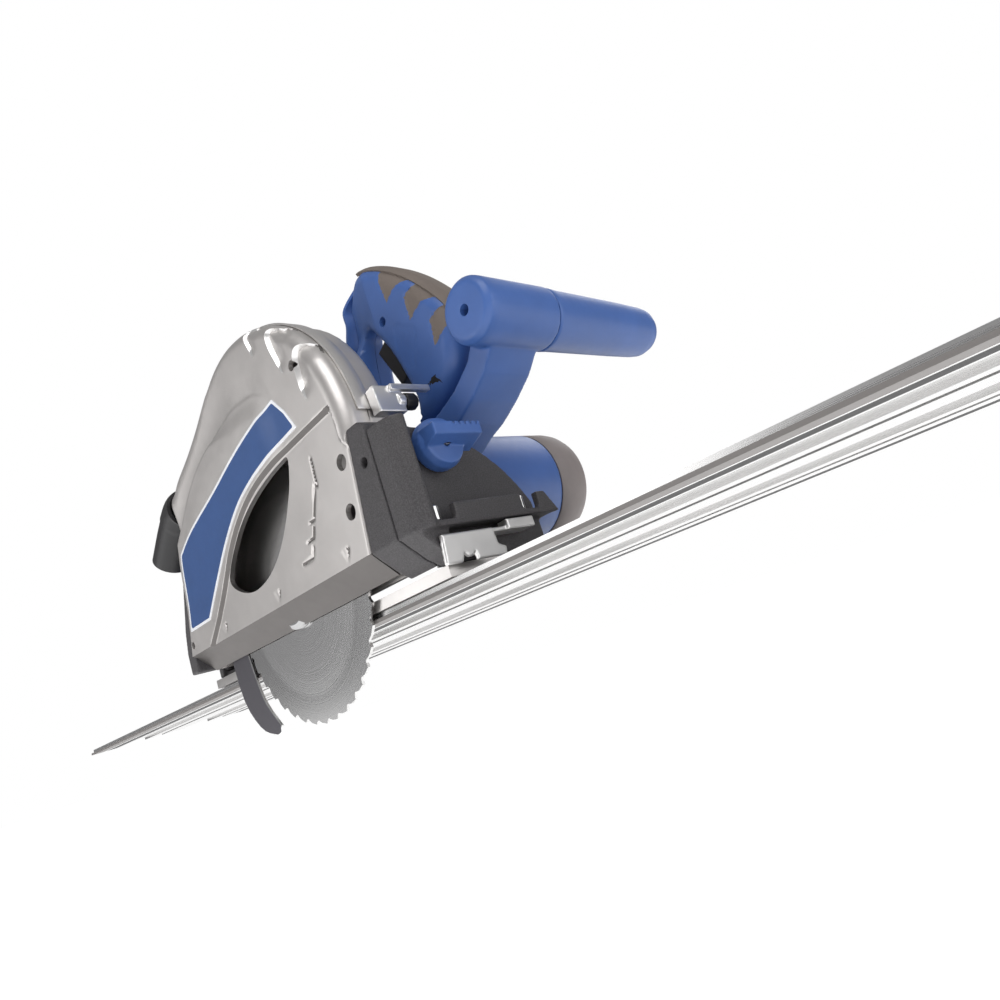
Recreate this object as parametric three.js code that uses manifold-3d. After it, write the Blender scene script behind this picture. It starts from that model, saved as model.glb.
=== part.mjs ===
// Track plunge saw on a guide rail, blade plunged.
// Millimetres. +X is the feed direction, +Y points from the blade to the motor, +Z is up.
// The part's origin is on the rail's underside, at the middle of its width.
// Every shape below is written in the saw's frame: Y = 0 is the blade's plane and Z = 0 the rail's top.
import * as THREE from "three";
import { mergeVertices } from "three/addons/utils/BufferGeometryUtils.js";
import Module from "manifold-3d";

const wasm = await Module();
wasm.setup();

// ---------------------------------------------------------------- driving dimensions
const GAP = 0.35; // clearance between neighbouring pieces

const RAIL = { height: 5, front: 390, rear: -510, right: 5, left: 188, middle: 95 };
const RIB = { y0: 63.5, y1: 82.5, top: 4.5 }; // the rib that the base plate's groove rides on

const BASE = { front: 134, rear: -163, right: 3.6, left: 94, bottom: 0.7, top: 7 };
const BEVEL_Z = -RAIL.height; // the bevel turns about the cut line on the work's surface
const BEVEL_BOLT = { radius: 77.3, angle: 13.1, r: 3 }; // from the bevel axis, degrees from vertical
const BEVEL_RANGE = 45;
const CAM = { x: [98, -98], y: 55, r: 5 };
const GUIDE_SCREW = { x: 139, y: [0, 62], r: 3.4 };

const GUARD = { x: 15, z: 95, r: 100, right: -18, split: -2, left: 14, bottom: 12.5, wall: 3 };
const FACE_STEP = 1.2; // the lower field of the guard's face is set back by this much
const DUST = { x: -119, y: -6, z: 134, r: 15, wall: 2.6, bore: 10.5 }; // swivelling dust port
const PIVOT = { x: -124, z: 38, r: 4, end: 50 }; // plunge pivot
const SPRING = { r: 8.2, wire: 1.2, y0: 36, pitch: 3.2, turns: 3.25 };
const RAISE = 28; // degrees from plunged to fully raised

const SPINDLE = { x: -9.5, z: 33.5, r: 7.5 };
const BLADE = { r: 82.5, body: 1.8, teeth: 40 };
const FLANGE_R = 22;

const MODULE = 1.25; // gear tooth module
const SPINDLE_TEETH = 28;
const IDLER_TEETH = 43;
const PINION_TEETH = 9;
const GEAR = { y0: 20, y1: 29 };
const MOTOR = { x: 52.8, z: 67.3, r: 40, nose: 29, y0: 36.2, step: 65, cap: 165, end: 200 };

const BRUSH = { y: 155, sides: [1, -1], bore: 6.4 };
const LOCK = { x: 10, z: 50, r: 4 };

const HANDLE = { right: 43, split: 57, left: 71, wall: 3.4 };
const TRIGGER = { x: 94.5, z: 151, tilt: -66, length: 32 };
const RELEASE = { x: 120, z: 168, r: 6 };
const BAR = { x: 180, z: 127, r: 18, tip: 15.5, right: 25, seam: 81, left: 185 }; // front bar handle

// ---------------------------------------------------------------- finishes
const finish = (color, roughness, metalness) => ({ color, roughness, metalness });
const ALUMINIUM = finish(0xb9b5b0, 0.38, 0.85);
const BRIGHT = finish(0xe4e4e4, 0.2, 0.95);
const STEEL = finish(0x9a9a9c, 0.32, 0.95);
const KNIFE_STEEL = finish(0x55535a, 0.45, 0.8);
const BLUE = finish(0x3d5fa0, 0.5, 0);
const LABEL = finish(0x2c4c7e, 0.35, 0);
const GREY_PLASTIC = finish(0x7d7676, 0.6, 0);
const CASTING = finish(0x4c494b, 0.65, 0.3);
const BLACK = finish(0x1c1b1d, 0.55, 0);
const RUBBER = finish(0x6e6460, 0.8, 0);
const COPPER = finish(0xb0683a, 0.4, 0.9);

// ---------------------------------------------------------------- geometry helpers
const rad = THREE.MathUtils.degToRad;

function circle(cx, cy, r, steps = 24) {
  return arc(cx, cy, r, 0, 360, steps).slice(0, -1);
}

// Points along an arc from angle a0 to a1 in degrees, both ends included.
function arc(cx, cy, r, a0, a1, steps) {
  return Array.from({ length: steps + 1 }, (_, i) => {
    const a = rad(a0 + ((a1 - a0) * i) / steps);
    return [cx + r * Math.cos(a), cy + r * Math.sin(a)];
  });
}

// A slot of half-width w along an arc.
function arcSlot(cx, cy, r, w, a0, a1, steps = 8) {
  const [sx, sy] = arc(cx, cy, r, a0, a0, 1)[0];
  const [ex, ey] = arc(cx, cy, r, a1, a1, 1)[0];
  return [
    ...arc(cx, cy, r + w, a0, a1, steps),
    ...arc(ex, ey, w, a1, a1 + 180, 6).slice(1, -1),
    ...arc(cx, cy, r - w, a1, a0, steps),
    ...arc(sx, sy, w, a0 + 180, a0 + 360, 6).slice(1, -1),
  ];
}

// The same outline moved inwards by d, for an outline that runs anticlockwise.
function inset(points, d) {
  const n = points.length;
  return points.map((p, i) => {
    const a = new THREE.Vector2(...points[(i + n - 1) % n]);
    const b = new THREE.Vector2(...p);
    const c = new THREE.Vector2(...points[(i + 1) % n]);
    const u = b.clone().sub(a).normalize();
    const v = c.clone().sub(b).normalize();
    const m = new THREE.Vector2(-u.y - v.y, u.x + v.x).normalize();
    const k = d / Math.max(0.5, m.x * -u.y + m.y * u.x);
    return [b.x + m.x * k, b.y + m.y * k];
  });
}

function extruded(outline, depth, holes) {
  const shape = new THREE.Shape(outline.map(([x, y]) => new THREE.Vector2(x, y)));
  shape.holes = holes.map((h) => new THREE.Path(h.map(([x, y]) => new THREE.Vector2(x, y))));
  return new THREE.ExtrudeGeometry(shape, { depth, bevelEnabled: false });
}

// A closed geometry as a solid for cutting and joining, whichever way its profile runs.
function solid(geometry) {
  geometry.deleteAttribute("normal");
  geometry.deleteAttribute("uv");
  const merged = mergeVertices(geometry, 1e-3);
  const vertProperties = merged.attributes.position.array;
  const triVerts = new Uint32Array(merged.index.array);
  const made = new wasm.Manifold(new wasm.Mesh({ numProp: 3, vertProperties, triVerts }));
  if (made.volume() > 0) return made;
  return new wasm.Manifold(
    new wasm.Mesh({ numProp: 3, vertProperties, triVerts: triVerts.slice().reverse() }),
  );
}

// Prisms: an outline in XZ, YZ or XY, drawn out between two values of the third axis.
function alongY(outline, y0, y1, holes = []) {
  return solid(extruded(outline, y1 - y0, holes).rotateX(Math.PI / 2).translate(0, y1, 0));
}
function alongX(outline, x0, x1, holes = []) {
  const turn = new THREE.Matrix4().makeBasis(
    new THREE.Vector3(0, 1, 0),
    new THREE.Vector3(0, 0, 1),
    new THREE.Vector3(1, 0, 0),
  );
  return solid(extruded(outline, x1 - x0, holes).applyMatrix4(turn).translate(x0, 0, 0));
}
function alongZ(outline, z0, z1, holes = []) {
  return solid(extruded(outline, z1 - z0, holes).translate(0, 0, z0));
}

// Turned shapes: [radius, position] pairs along an axis through a point.
function lathe(profile, steps) {
  return new THREE.LatheGeometry(profile.map(([r, h]) => new THREE.Vector2(r, h)), steps);
}
function turnedY(profile, x, z, steps = 24) {
  return solid(lathe(profile, steps).translate(x, 0, z));
}
function turnedX(profile, y, z, steps = 24) {
  return solid(lathe(profile, steps).rotateZ(-Math.PI / 2).translate(0, y, z));
}
function turnedZ(profile, x, y, steps = 24) {
  return solid(lathe(profile, steps).rotateX(Math.PI / 2).translate(x, y, 0));
}

const rod = (r, a, b) => [[0, a], [r, a], [r, b], [0, b]];
const tube = (ri, ro, a, b) => [[ri, a], [ro, a], [ro, b], [ri, b], [ri, a]];
const box = (x0, x1, y0, y1, z0, z1) =>
  alongZ([[x0, y0], [x1, y0], [x1, y1], [x0, y1]], z0, z1);

const join = (first, ...rest) => rest.reduce((a, b) => a.add(b), first);
const cut = (first, ...rest) => rest.reduce((a, b) => a.subtract(b), first);

// The bodies' groups all share the saw's frame, which sits on the rail.
const part = new THREE.Group();
const saw = new THREE.Group();
saw.position.set(0, -RAIL.middle, RAIL.height);
part.add(saw);

function body() {
  const group = new THREE.Group();
  saw.add(group);
  return group;
}

function piece(group, name, shape, { color, roughness, metalness }) {
  const { numProp, vertProperties, triVerts, numVert } = shape.getMesh();
  const xyz = new Float32Array(numVert * 3);
  for (let i = 0; i < numVert; i++) {
    xyz.set(vertProperties.subarray(i * numProp, i * numProp + 3), i * 3);
  }
  const geometry = new THREE.BufferGeometry();
  geometry.setAttribute("position", new THREE.BufferAttribute(xyz, 3));
  geometry.setIndex(new THREE.BufferAttribute(triVerts, 1));
  geometry.computeVertexNormals();
  const material = new THREE.MeshStandardMaterial({ color, roughness, metalness });
  const mesh = new THREE.Mesh(geometry, material);
  mesh.name = name;
  group.add(mesh);
}

// ---------------------------------------------------------------- guide rail
const rail = body();

function railSection() {
  const foot = -RAIL.height;
  const thin = -2.6;
  const strip = -3.4;
  const slot = (y, roof) => [
    [y - 3.6, foot],
    [y - 3.6, foot + 1.8],
    [y - 6.3, foot + 1.8],
    [y - 6.3, roof],
    [y + 6.3, roof],
    [y + 6.3, foot + 1.8],
    [y + 3.6, foot + 1.8],
    [y + 3.6, foot],
  ];
  return [
    [RAIL.right, thin],
    [14.3, thin], [14.3, foot], [17, foot],
    [17, strip], [28, strip], [28, foot], [31, foot],
    [31, thin], [58, thin], [58, foot],
    ...slot(73, 2.4),
    [102, foot], [102, thin], [130, thin], [130, foot],
    ...slot(145, 0.6),
    [162, foot], [162, strip], [173, strip], [173, foot],
    [RAIL.left, foot], [RAIL.left, 0],
    [154, 0], [154, 2.6], [136, 2.6], [136, 0],
    [RIB.y1, 0], [RIB.y1, RIB.top], [RIB.y0, RIB.top], [RIB.y0, 0],
    [32, 0], [32, -0.9], [22, -0.9], [22, 0],
    [RAIL.right, 0],
  ];
}

function strip(y0, y1, z0, z1) {
  return box(RAIL.rear, RAIL.front, y0, y1, z0, z1);
}

piece(rail, "guide_rail", alongX(railSection(), RAIL.rear, RAIL.front), BRIGHT);
piece(rail, "splinter_strip", strip(2.4, 14, -5, -2.6 - GAP), GREY_PLASTIC);
piece(rail, "grip_strip_inner", strip(17 + GAP, 28 - GAP, -5, -3.4 - GAP), BLACK);
piece(rail, "grip_strip_outer", strip(162 + GAP, 173 - GAP, -5, -3.4 - GAP), BLACK);
piece(rail, "glide_strip", strip(22 + GAP, 32 - GAP, -0.9 + GAP, 0.35), GREY_PLASTIC);

// ---------------------------------------------------------------- base with its brackets
const base = body();

function bevelPoint(radius, degrees) {
  return [radius * Math.sin(rad(degrees)), BEVEL_Z + radius * Math.cos(rad(degrees))];
}
const BOLT = bevelPoint(BEVEL_BOLT.radius, BEVEL_BOLT.angle);

function basePlateSection() {
  const groove = 0.7;
  return [
    [BASE.right, BASE.bottom],
    [RIB.y0 - groove, BASE.bottom], [RIB.y0 - groove, RIB.top + groove],
    [RIB.y1 + groove, RIB.top + groove], [RIB.y1 + groove, BASE.bottom],
    [BASE.left, BASE.bottom], [BASE.left, 12], [BASE.left - 3, 12], [BASE.left - 3, BASE.top],
    [BASE.right, BASE.top],
  ];
}

const camHoles = CAM.x.map((x) => turnedZ(rod(CAM.r + GAP, -1, 10), x, CAM.y));
piece(base, "base_plate",
  cut(alongX(basePlateSection(), BASE.rear, BASE.front), ...camHoles), ALUMINIUM);

// Outline in YZ of an upright bracket plate: a quarter round about the bevel axis.
function quadrant(y0, z0, radius, yEnd) {
  const first = THREE.MathUtils.radToDeg(Math.acos(y0 / radius));
  const last = THREE.MathUtils.radToDeg(Math.acos(yEnd / radius));
  return [[y0, z0], [yEnd, z0], ...arc(0, BEVEL_Z, radius, last, first, 12)];
}

// The slope under the guard's front end goes on across the casting and the bracket, in YZ.
const CHIN = [[-4, 12.5], [3.25, 8], [3.25, 25]];

function frontBracket() {
  const plate = alongX(quadrant(5, 24, 89, 80), 128, 133.4);
  const post = alongZ([
    [128, -17.5], [139, -17.5], [146, -15.5], [149.5, -11], [149.5, -8.5], [136.4, 1.6],
    [133.4, 1.6], [133.4, 5.5], [128, 5.5],
  ], 24, 84);
  const shelf = box(128, 148, -12, 82, 24, 27);
  const front = alongX([[-12, 24], [84, 24], [76, 36.5], [-12, 35.5]], 143.5, 148);
  const web = box(128, 134.8, 3.3, 80, 7 + GAP, 24);
  const chin = alongX([[-17.5, 25], ...CHIN], 128, 143.5);
  const notches = GUIDE_SCREW.y.map((y) => box(135, 151, y - 6, y + 7, 27.2, 37));
  return cut(
    join(plate, post, shelf, front, web, chin),
    ...notches,
    turnedX(rod(BEVEL_BOLT.r + GAP, 120, 140), ...BOLT),
  );
}

piece(base, "front_bracket", frontBracket(), CASTING);

const SCREW_PROFILE = [
  [0, 27.4], [2, 27.4], [2, 29], [GUIDE_SCREW.r, 29], [GUIDE_SCREW.r, 36], [2.8, 36.6], [0, 36.6],
];
GUIDE_SCREW.y.forEach((y, i) => {
  piece(base, "guide_screw_" + (i + 1), turnedZ(SCREW_PROFILE, GUIDE_SCREW.x, y, 16), STEEL);
});

// Bent sheet under the shelf whose notch shows the cut line.
function cutLinePlate() {
  const crown = [[3, 4.6], [5.4, 9.4], [8, 7], [11, 7], [12.6, 10.4], [13.4, 4.6]];
  const edge = [[-8, 4.6], ...crown, [34, 4.6], [35, 9], [30, 11], [29, 20], [-6, 20]];
  const lip = alongX(edge, 144.5, 147);
  const back = box(135.2, 146, 4, 61, 17.5, 20);
  const tab = box(140, 147.5, 40, 61, 17.5, 23.2);
  return join(lip, back, tab);
}
piece(base, "cut_line_plate", cutLinePlate(), ALUMINIUM);

function rearBracket() {
  const plate = alongX(quadrant(6, BASE.top + GAP, 89, 84), -160, -154);
  const foot = box(-154, -140, 10, 84, BASE.top + GAP, 11);
  return cut(join(plate, foot), turnedX(rod(BEVEL_BOLT.r + GAP, -165, -150), ...BOLT));
}
piece(base, "rear_bracket", rearBracket(), CASTING);

// Clamping bolts of the bevel, fixed along X through bracket and slotted plate.
function bevelBolt(x0, x1, headAt) {
  return join(
    turnedX(rod(BEVEL_BOLT.r, x0, x1), ...BOLT, 16),
    turnedX(rod(5.5, headAt, headAt + 3), ...BOLT, 6),
  );
}
piece(base, "bevel_bolt_front", bevelBolt(114, 146, 114), STEEL);
piece(base, "bevel_bolt_rear", bevelBolt(-172, -141, -144), STEEL);

// Winged knob with ribs, standing out from x0; dir is +1 for a knob that faces the front.
function wingKnob(x0, dir) {
  const [y, z] = BOLT;
  const at = (v) => x0 + dir * v;
  const span = (a, b) => (dir > 0 ? [at(a), at(b)] : [at(b), at(a)]);
  const profile = [[0, at(0)], [13.6, at(0)], [14.4, at(2)], [14.4, at(7)], [12.6, at(11)], [0, at(12)]];
  const disc = turnedX(profile, y, z, 28);
  const side = [[at(6), z - 5], [at(20), z], [at(20), z + 7], [at(6), z + 7]];
  const wing = alongY(side, y - 13, y + 20);
  const grooves = [1, 5, 9, 13, 17].map((v) => box(...span(9, 22), y + v, y + v + 1.4, z + 5, z + 8));
  const bore = turnedX(rod(BEVEL_BOLT.r + GAP, at(-1), at(13)), y, z, 16);
  return cut(join(disc, wing), bore, ...grooves);
}

const frontKnob = body();
piece(frontKnob, "bevel_knob_front", wingKnob(133.4 + GAP, 1), BLUE);
const rearKnob = body();
piece(rearKnob, "bevel_knob_rear", wingKnob(-160 - GAP, -1), BLUE);

// Eccentric cams that take the play out between groove and rib.
CAM.x.forEach((x, i) => {
  const shaft = turnedZ(rod(CAM.r, 1.2, 8), x, CAM.y);
  const head = turnedZ([[0, 7.6], [9, 7.6], [9.5, 9], [9, 14], [0, 14]], x, CAM.y, 20);
  const grip = box(x - 14, x + 4, CAM.y - 3.5, CAM.y + 3.5, 10, 18);
  piece(body(), ["rail_cam_front", "rail_cam_rear"][i], join(shaft, head, grip), BLACK);
});

// ---------------------------------------------------------------- tilting guard unit
const tilt = body();

// Outline of the guard in XZ, moved inwards by d, with its lower edge at the given height.
function guardOutline(d, bottom) {
  return [
    [-141 + d, bottom],
    [102.5 - d, bottom],
    [102.5 - d, 27.5],
    [111 - d, 90],
    ...arc(GUARD.x, GUARD.z, GUARD.r - d, 2, 126, 22),
    [-80 + 0.4 * d, 163 - d],
    [-118 + d, 150 - d],
    [-119 + d, 100],
    [-135 + d, 45],
  ];
}

const STEP_EDGE = [
  [-110, 26], [-95, 36], [-77, 49], [-57, 64], [-40, 77.5], [-20, 91], [0, 100], [22, 105],
  [50, 107.5],
];
const WINDOW = [
  [-59, 61], [-45, 51], [-30, 44.5], [-15, 43], [0, 46], [20, 57.5], [35, 72.5], [46, 87], [52.5, 102.5],
  [22, 101], [0, 96], [-20, 87], [-40, 74],
];
const VOLUTE = [
  [48, 141], [35, 147], [15, 152], [-10, 155], [-40, 151], [-65, 144], [-82, 137], [-114, 142],
  [-114, 108], [-90, 109], [-50, 122], [0, 134],
];
const NOTCHES = [[88, 133, 36], [71, 158, 50], [44, 178, 68]]; // X, Z and angle of each rim notch

// Everything under a line that slopes from the face down towards the blade slot.
function underSlope(rise) {
  const z = (y) => 26 + rise - ((y - GUARD.right) * 13.5) / 14;
  return alongX([[-30, -60], [20, -60], [20, z(-4)], [-4, z(-4)], [-30, z(-30)]], -220, 220);
}

function outerShell() {
  const skin = cut(alongY(guardOutline(0, 8), GUARD.right, GUARD.split), underSlope(0));
  const hollow = cut(
    alongY(guardOutline(GUARD.wall, -20), GUARD.right + GUARD.wall, GUARD.split + 5),
    underSlope(3.4),
  );
  const step = alongY([...STEP_EDGE, [125, 108], [125, 5], [-110, 5]].reverse(),
    GUARD.right - 1, GUARD.right + FACE_STEP);
  const notches = NOTCHES.map(([x, z, a]) => {
    const c = Math.cos(rad(a));
    const s = Math.sin(rad(a));
    const at = (u, v) => [x + u * c - v * s, z + u * s + v * c];
    return alongY([at(-14, 0), at(18, -5), at(18, 5)], GUARD.right - 1, GUARD.right + 1.6);
  });
  const volute = alongY(VOLUTE, GUARD.right - 3, GUARD.right + 1);
  return cut(
    join(skin, volute),
    hollow,
    step,
    ...notches,
    alongY(WINDOW, GUARD.right - 5, GUARD.right + 5),
    turnedX(rod(DUST.bore, -130, -110), DUST.y, DUST.z),
    turnedY(rod(FLANGE_R + 1.2, -7.3, 0), SPINDLE.x, SPINDLE.z),
    turnedY(rod(10.2, -11.3, 0), SPINDLE.x, SPINDLE.z),
  );
}
piece(tilt, "guard_outer_shell", outerShell(), ALUMINIUM);

const LABEL_OUTLINE = [
  [-132.5, 44.5], [-99, 44.5], [-82, 60], [-65, 74], [-45, 85], [-20, 96], [10, 106], [35, 113],
  [65.5, 115], [50.5, 138], [0, 132], [-50, 120], [-90, 107], [-116, 97.5],
];
piece(tilt, "label_plate",
  alongY(inset(LABEL_OUTLINE, 0.8), GUARD.right - GAP - 0.8, GUARD.right - GAP), LABEL);

// The opening in the inner shell that the gearbox nose moves along when the saw plunges.
const reach = Math.hypot(SPINDLE.x - PIVOT.x, SPINDLE.z - PIVOT.z);
const rest = THREE.MathUtils.radToDeg(Math.atan2(SPINDLE.z - PIVOT.z, SPINDLE.x - PIVOT.x));
const NOSE_R = 21.5;

function innerShell() {
  const skin = alongY(guardOutline(0, GUARD.bottom), GUARD.split + GAP, GUARD.left);
  const hollow = alongY(guardOutline(GUARD.wall, -20), GUARD.split - 5, GUARD.left - GUARD.wall);
  const boss = turnedY(rod(9, 3.5, GUARD.left - 1), PIVOT.x, PIVOT.z);
  const noseWay = arcSlot(PIVOT.x, PIVOT.z, reach, NOSE_R + 1.5, rest, rest + RAISE, 10);
  const lever = arcSlot(PIVOT.x, PIVOT.z, 22, 9, 2, 2 + RAISE, 6);
  return cut(
    join(cut(skin, hollow), boss),
    alongY(noseWay, 5, 20),
    box(SPINDLE.x - 20, SPINDLE.x + 26, 5, 20, 0, SPINDLE.z),
    alongY(lever, 5, 20),
    turnedY(rod(PIVOT.r + 0.3, 0, 20), PIVOT.x, PIVOT.z),
    turnedX(rod(DUST.bore, -130, -110), DUST.y, DUST.z),
  );
}
piece(tilt, "guard_inner_shell", innerShell(), ALUMINIUM);
piece(tilt, "plunge_pivot_pin",
  join(
    turnedY(rod(PIVOT.r, 4, PIVOT.end), PIVOT.x, PIVOT.z, 16),
    turnedY(rod(6.5, PIVOT.end - 2, PIVOT.end + 1.5), PIVOT.x, PIVOT.z, 6),
  ), STEEL);

// Dark casting between the guard's front edge and the front bracket.
function frontCasting() {
  const side = [[103.6, 27], [127.4, 27], [127.4, 88], [122, 91.5], [111.7, 91.5]];
  const block = alongY(side, -17.5, 8);
  const chin = alongX([[-17.5, 28], [-17.5, 25], ...CHIN], 103.9, 127.4);
  const toe = alongY([[103.9, 27.5], [119.6, 27.5], [119.6, 34], [104.6, 34]], 7, 12);
  return cut(join(block, toe, chin), turnedY(rod(3, -20, -10), 119, 70, 12));
}
piece(tilt, "front_casting", frontCasting(), CASTING);

// Slotted quadrants that the bevel bolts clamp, one at each end of the guard.
const SLOT_FROM = 90 - BEVEL_BOLT.angle;
const bevelSlot = arcSlot(
  0, BEVEL_Z, BEVEL_BOLT.radius, BEVEL_BOLT.r + 0.4, SLOT_FROM - BEVEL_RANGE - 1, SLOT_FROM + 1, 12,
);
piece(tilt, "front_protractor",
  alongX(quadrant(8.4, 9, 84, 78), 120, 127.4, [bevelSlot]), ALUMINIUM);

function rearProtractor() {
  const plate = alongX(quadrant(8.4, 12, 84, 78), -153.6, -148, [bevelSlot]);
  const end = alongY([
    [-141.6, 14], [-141, 28], [-135.8, 46], [-125.8, 80], [-132.5, 82], [-141, 63], [-149, 46],
    [-153.6, 30], [-153.6, 14],
  ], -17, 9);
  return join(plate, end);
}
piece(tilt, "rear_protractor", rearProtractor(), CASTING);

// Depth scale along the front of the rim.
function rimBand(r0, r1, a0, a1, y0, y1) {
  return alongY(
    [...arc(GUARD.x, GUARD.z, r1, a0, a1, 12), ...arc(GUARD.x, GUARD.z, r0, a1, a0, 12)],
    y0,
    y1,
  );
}
piece(tilt, "depth_scale", rimBand(100.4, 101.3, 4, 76, -7, 1), ALUMINIUM);

// Torsion spring that raises the saw, wound round the pivot pin.
class Coil extends THREE.Curve {
  getPoint(t, target = new THREE.Vector3()) {
    const turn = t * SPRING.turns;
    const a = turn * 2 * Math.PI;
    const x = PIVOT.x + SPRING.r * Math.cos(a);
    const z = PIVOT.z + SPRING.r * Math.sin(a);
    return target.set(x, SPRING.y0 + SPRING.pitch * turn, z);
  }
}

// A round section drawn along a path.
function swept(r, sides, path, steps) {
  const section = new THREE.Shape(circle(0, 0, r, sides).map(([x, y]) => new THREE.Vector2(x, y)));
  const options = { steps, bevelEnabled: false, extrudePath: path };
  return solid(new THREE.ExtrudeGeometry(section, options));
}
piece(tilt, "plunge_spring", swept(SPRING.wire, 6, new Coil(), 36), STEEL);

// Swivelling dust port: a spout that bends rearwards and down behind the guard.
const dust = body();
function spout(r, over) {
  const { x, y, z } = DUST;
  const path = new THREE.CatmullRomCurve3([
    new THREE.Vector3(x - 1 + over, y, z),
    new THREE.Vector3(x - 6, y, z),
    new THREE.Vector3(x - 14, y, z - 3.4),
    new THREE.Vector3(x - 28, y, z - 11.5),
    new THREE.Vector3(x - 50 - 0.8 * over, y, z - 27 - 0.58 * over),
  ]);
  return swept(r, 14, path, 8);
}
piece(dust, "dust_port", cut(spout(DUST.r, 0), spout(DUST.r - DUST.wall, 2)), BLACK);

// ---------------------------------------------------------------- depth stop on the rim
const stop = body();
const [stopX, stopZ] = arc(GUARD.x, GUARD.z, 106, 5, 5, 1)[0];
const STOP = { x: stopX, z: stopZ };
piece(stop, "depth_stop",
  cut(
    join(
      rimBand(101.8, 109, 1, 9.5, -6, 18),
      turnedY(rod(4.5, 14, 19), STOP.x, STOP.z, 16),
      box(STOP.x + 0.6, STOP.x + 4.6, 10, 38, STOP.z + 5.4, STOP.z + 9),
    ),
    turnedY(rod(2.4, 16.6, 22), STOP.x, STOP.z, 12),
  ),
  BRIGHT);
const stopKnob = body();
piece(stopKnob, "depth_stop_knob",
  join(
    turnedY(rod(2, 17, 21), STOP.x, STOP.z, 12),
    turnedY([[0, 19.4], [5, 19.4], [5, 26], [4, 27.5], [0, 27.5]], STOP.x, STOP.z, 10),
  ),
  BLACK);

// ---------------------------------------------------------------- plunging unit: gearbox and motor
const plunge = body();

const spindleToIdler = (MODULE * (SPINDLE_TEETH + IDLER_TEETH)) / 2;
const idlerToMotor = (MODULE * (IDLER_TEETH + PINION_TEETH)) / 2;
const motorReach = Math.hypot(MOTOR.x - SPINDLE.x, MOTOR.z - SPINDLE.z);
const motorDir = Math.atan2(MOTOR.z - SPINDLE.z, MOTOR.x - SPINDLE.x);
const idlerTurn = Math.acos(
  (spindleToIdler ** 2 + motorReach ** 2 - idlerToMotor ** 2) / (2 * spindleToIdler * motorReach),
);
const IDLER = {
  x: SPINDLE.x + spindleToIdler * Math.cos(motorDir + idlerTurn),
  z: SPINDLE.z + spindleToIdler * Math.sin(motorDir + idlerTurn),
};

// A housing outline: the belt line round the pivot eye, spindle, idler and motor.
function gearboxOutline(d) {
  return [
    ...arc(PIVOT.x, PIVOT.z, 11 - d, 100, 270, 8),
    ...arc(SPINDLE.x, SPINDLE.z, 22 - d, 262, 325, 5),
    ...arc(IDLER.x, IDLER.z, 32 - d, 262, 294, 3),
    ...arc(MOTOR.x, MOTOR.z, 31 - d, 310, 425, 8),
    ...arc(IDLER.x, IDLER.z, 33 - d, 90, 130, 4),
  ];
}

function gearboxHousing() {
  const shell = alongY(gearboxOutline(0), GUARD.left + 0.6, 33);
  const nose = turnedY(rod(NOSE_R, 8, 16), SPINDLE.x, SPINDLE.z);
  const lever = alongY(arcSlot(PIVOT.x, PIVOT.z, 22, 7, 1, 3, 2), 1.5, 16);
  const room = [
    ...arc(SPINDLE.x, SPINDLE.z, 19.6, 130, 325, 12),
    ...arc(IDLER.x, IDLER.z, 29, 262, 294, 3),
    ...arc(MOTOR.x, MOTOR.z, 27, 310, 425, 8),
    ...arc(IDLER.x, IDLER.z, 29.6, 90, 140, 5),
  ];
  return cut(
    join(shell, nose, lever),
    alongY(room, 18, 34),
    turnedY(rod(11.2, 10, 20), SPINDLE.x, SPINDLE.z),
    turnedY(rod(SPINDLE.r + 1, 5, 20), SPINDLE.x, SPINDLE.z),
    turnedY(rod(PIVOT.r + 0.35, 0, 40), PIVOT.x, PIVOT.z, 16),
    turnedY(rod(2.4, 0, 12), PIVOT.x + 22, PIVOT.z + 1, 12),
  );
}
piece(plunge, "gearbox_housing", gearboxHousing(), ALUMINIUM);

function gearboxCover() {
  const plate = [
    ...arc(SPINDLE.x, SPINDLE.z, 22, 130, 325, 12),
    ...arc(IDLER.x, IDLER.z, 32, 262, 294, 3),
    ...arc(MOTOR.x, MOTOR.z, 31, 310, 425, 8),
    ...arc(IDLER.x, IDLER.z, 33, 90, 140, 5),
  ];
  const holes = [
    circle(SPINDLE.x, SPINDLE.z, SPINDLE.r + 1, 16),
    circle(MOTOR.x, MOTOR.z, 11.5, 20),
    circle(IDLER.x, IDLER.z, 4.4, 12),
    circle(LOCK.x, LOCK.z, LOCK.r + GAP, 12),
  ];
  return cut(
    join(alongY(plate, 33 + GAP, 35.9), turnedY(rod(14, 35, 47), SPINDLE.x, SPINDLE.z)),
    ...holes.map((h) => alongY(h, 30, 40)),
    turnedY(rod(11.2, 36.5, 44.6), SPINDLE.x, SPINDLE.z),
    turnedY(rod(SPINDLE.r + 1, 30, 44), SPINDLE.x, SPINDLE.z),
    turnedY(rod(5, 30, 50), SPINDLE.x, SPINDLE.z),
  );
}
piece(plunge, "gearbox_cover", gearboxCover(), ALUMINIUM);

function bearing(x, z, bore, outer, y0, y1) {
  return turnedY([[bore, y0], [outer, y0], [outer, y1], [bore, y1], [bore, y0]], x, z, 20);
}
piece(plunge, "spindle_bearing",
  bearing(SPINDLE.x, SPINDLE.z, SPINDLE.r + 0.25, 10.9, 11, 17.6), STEEL);
piece(plunge, "armature_bearing", bearing(MOTOR.x, MOTOR.z, 4.3, 11, 36.6, 43), STEEL);

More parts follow.
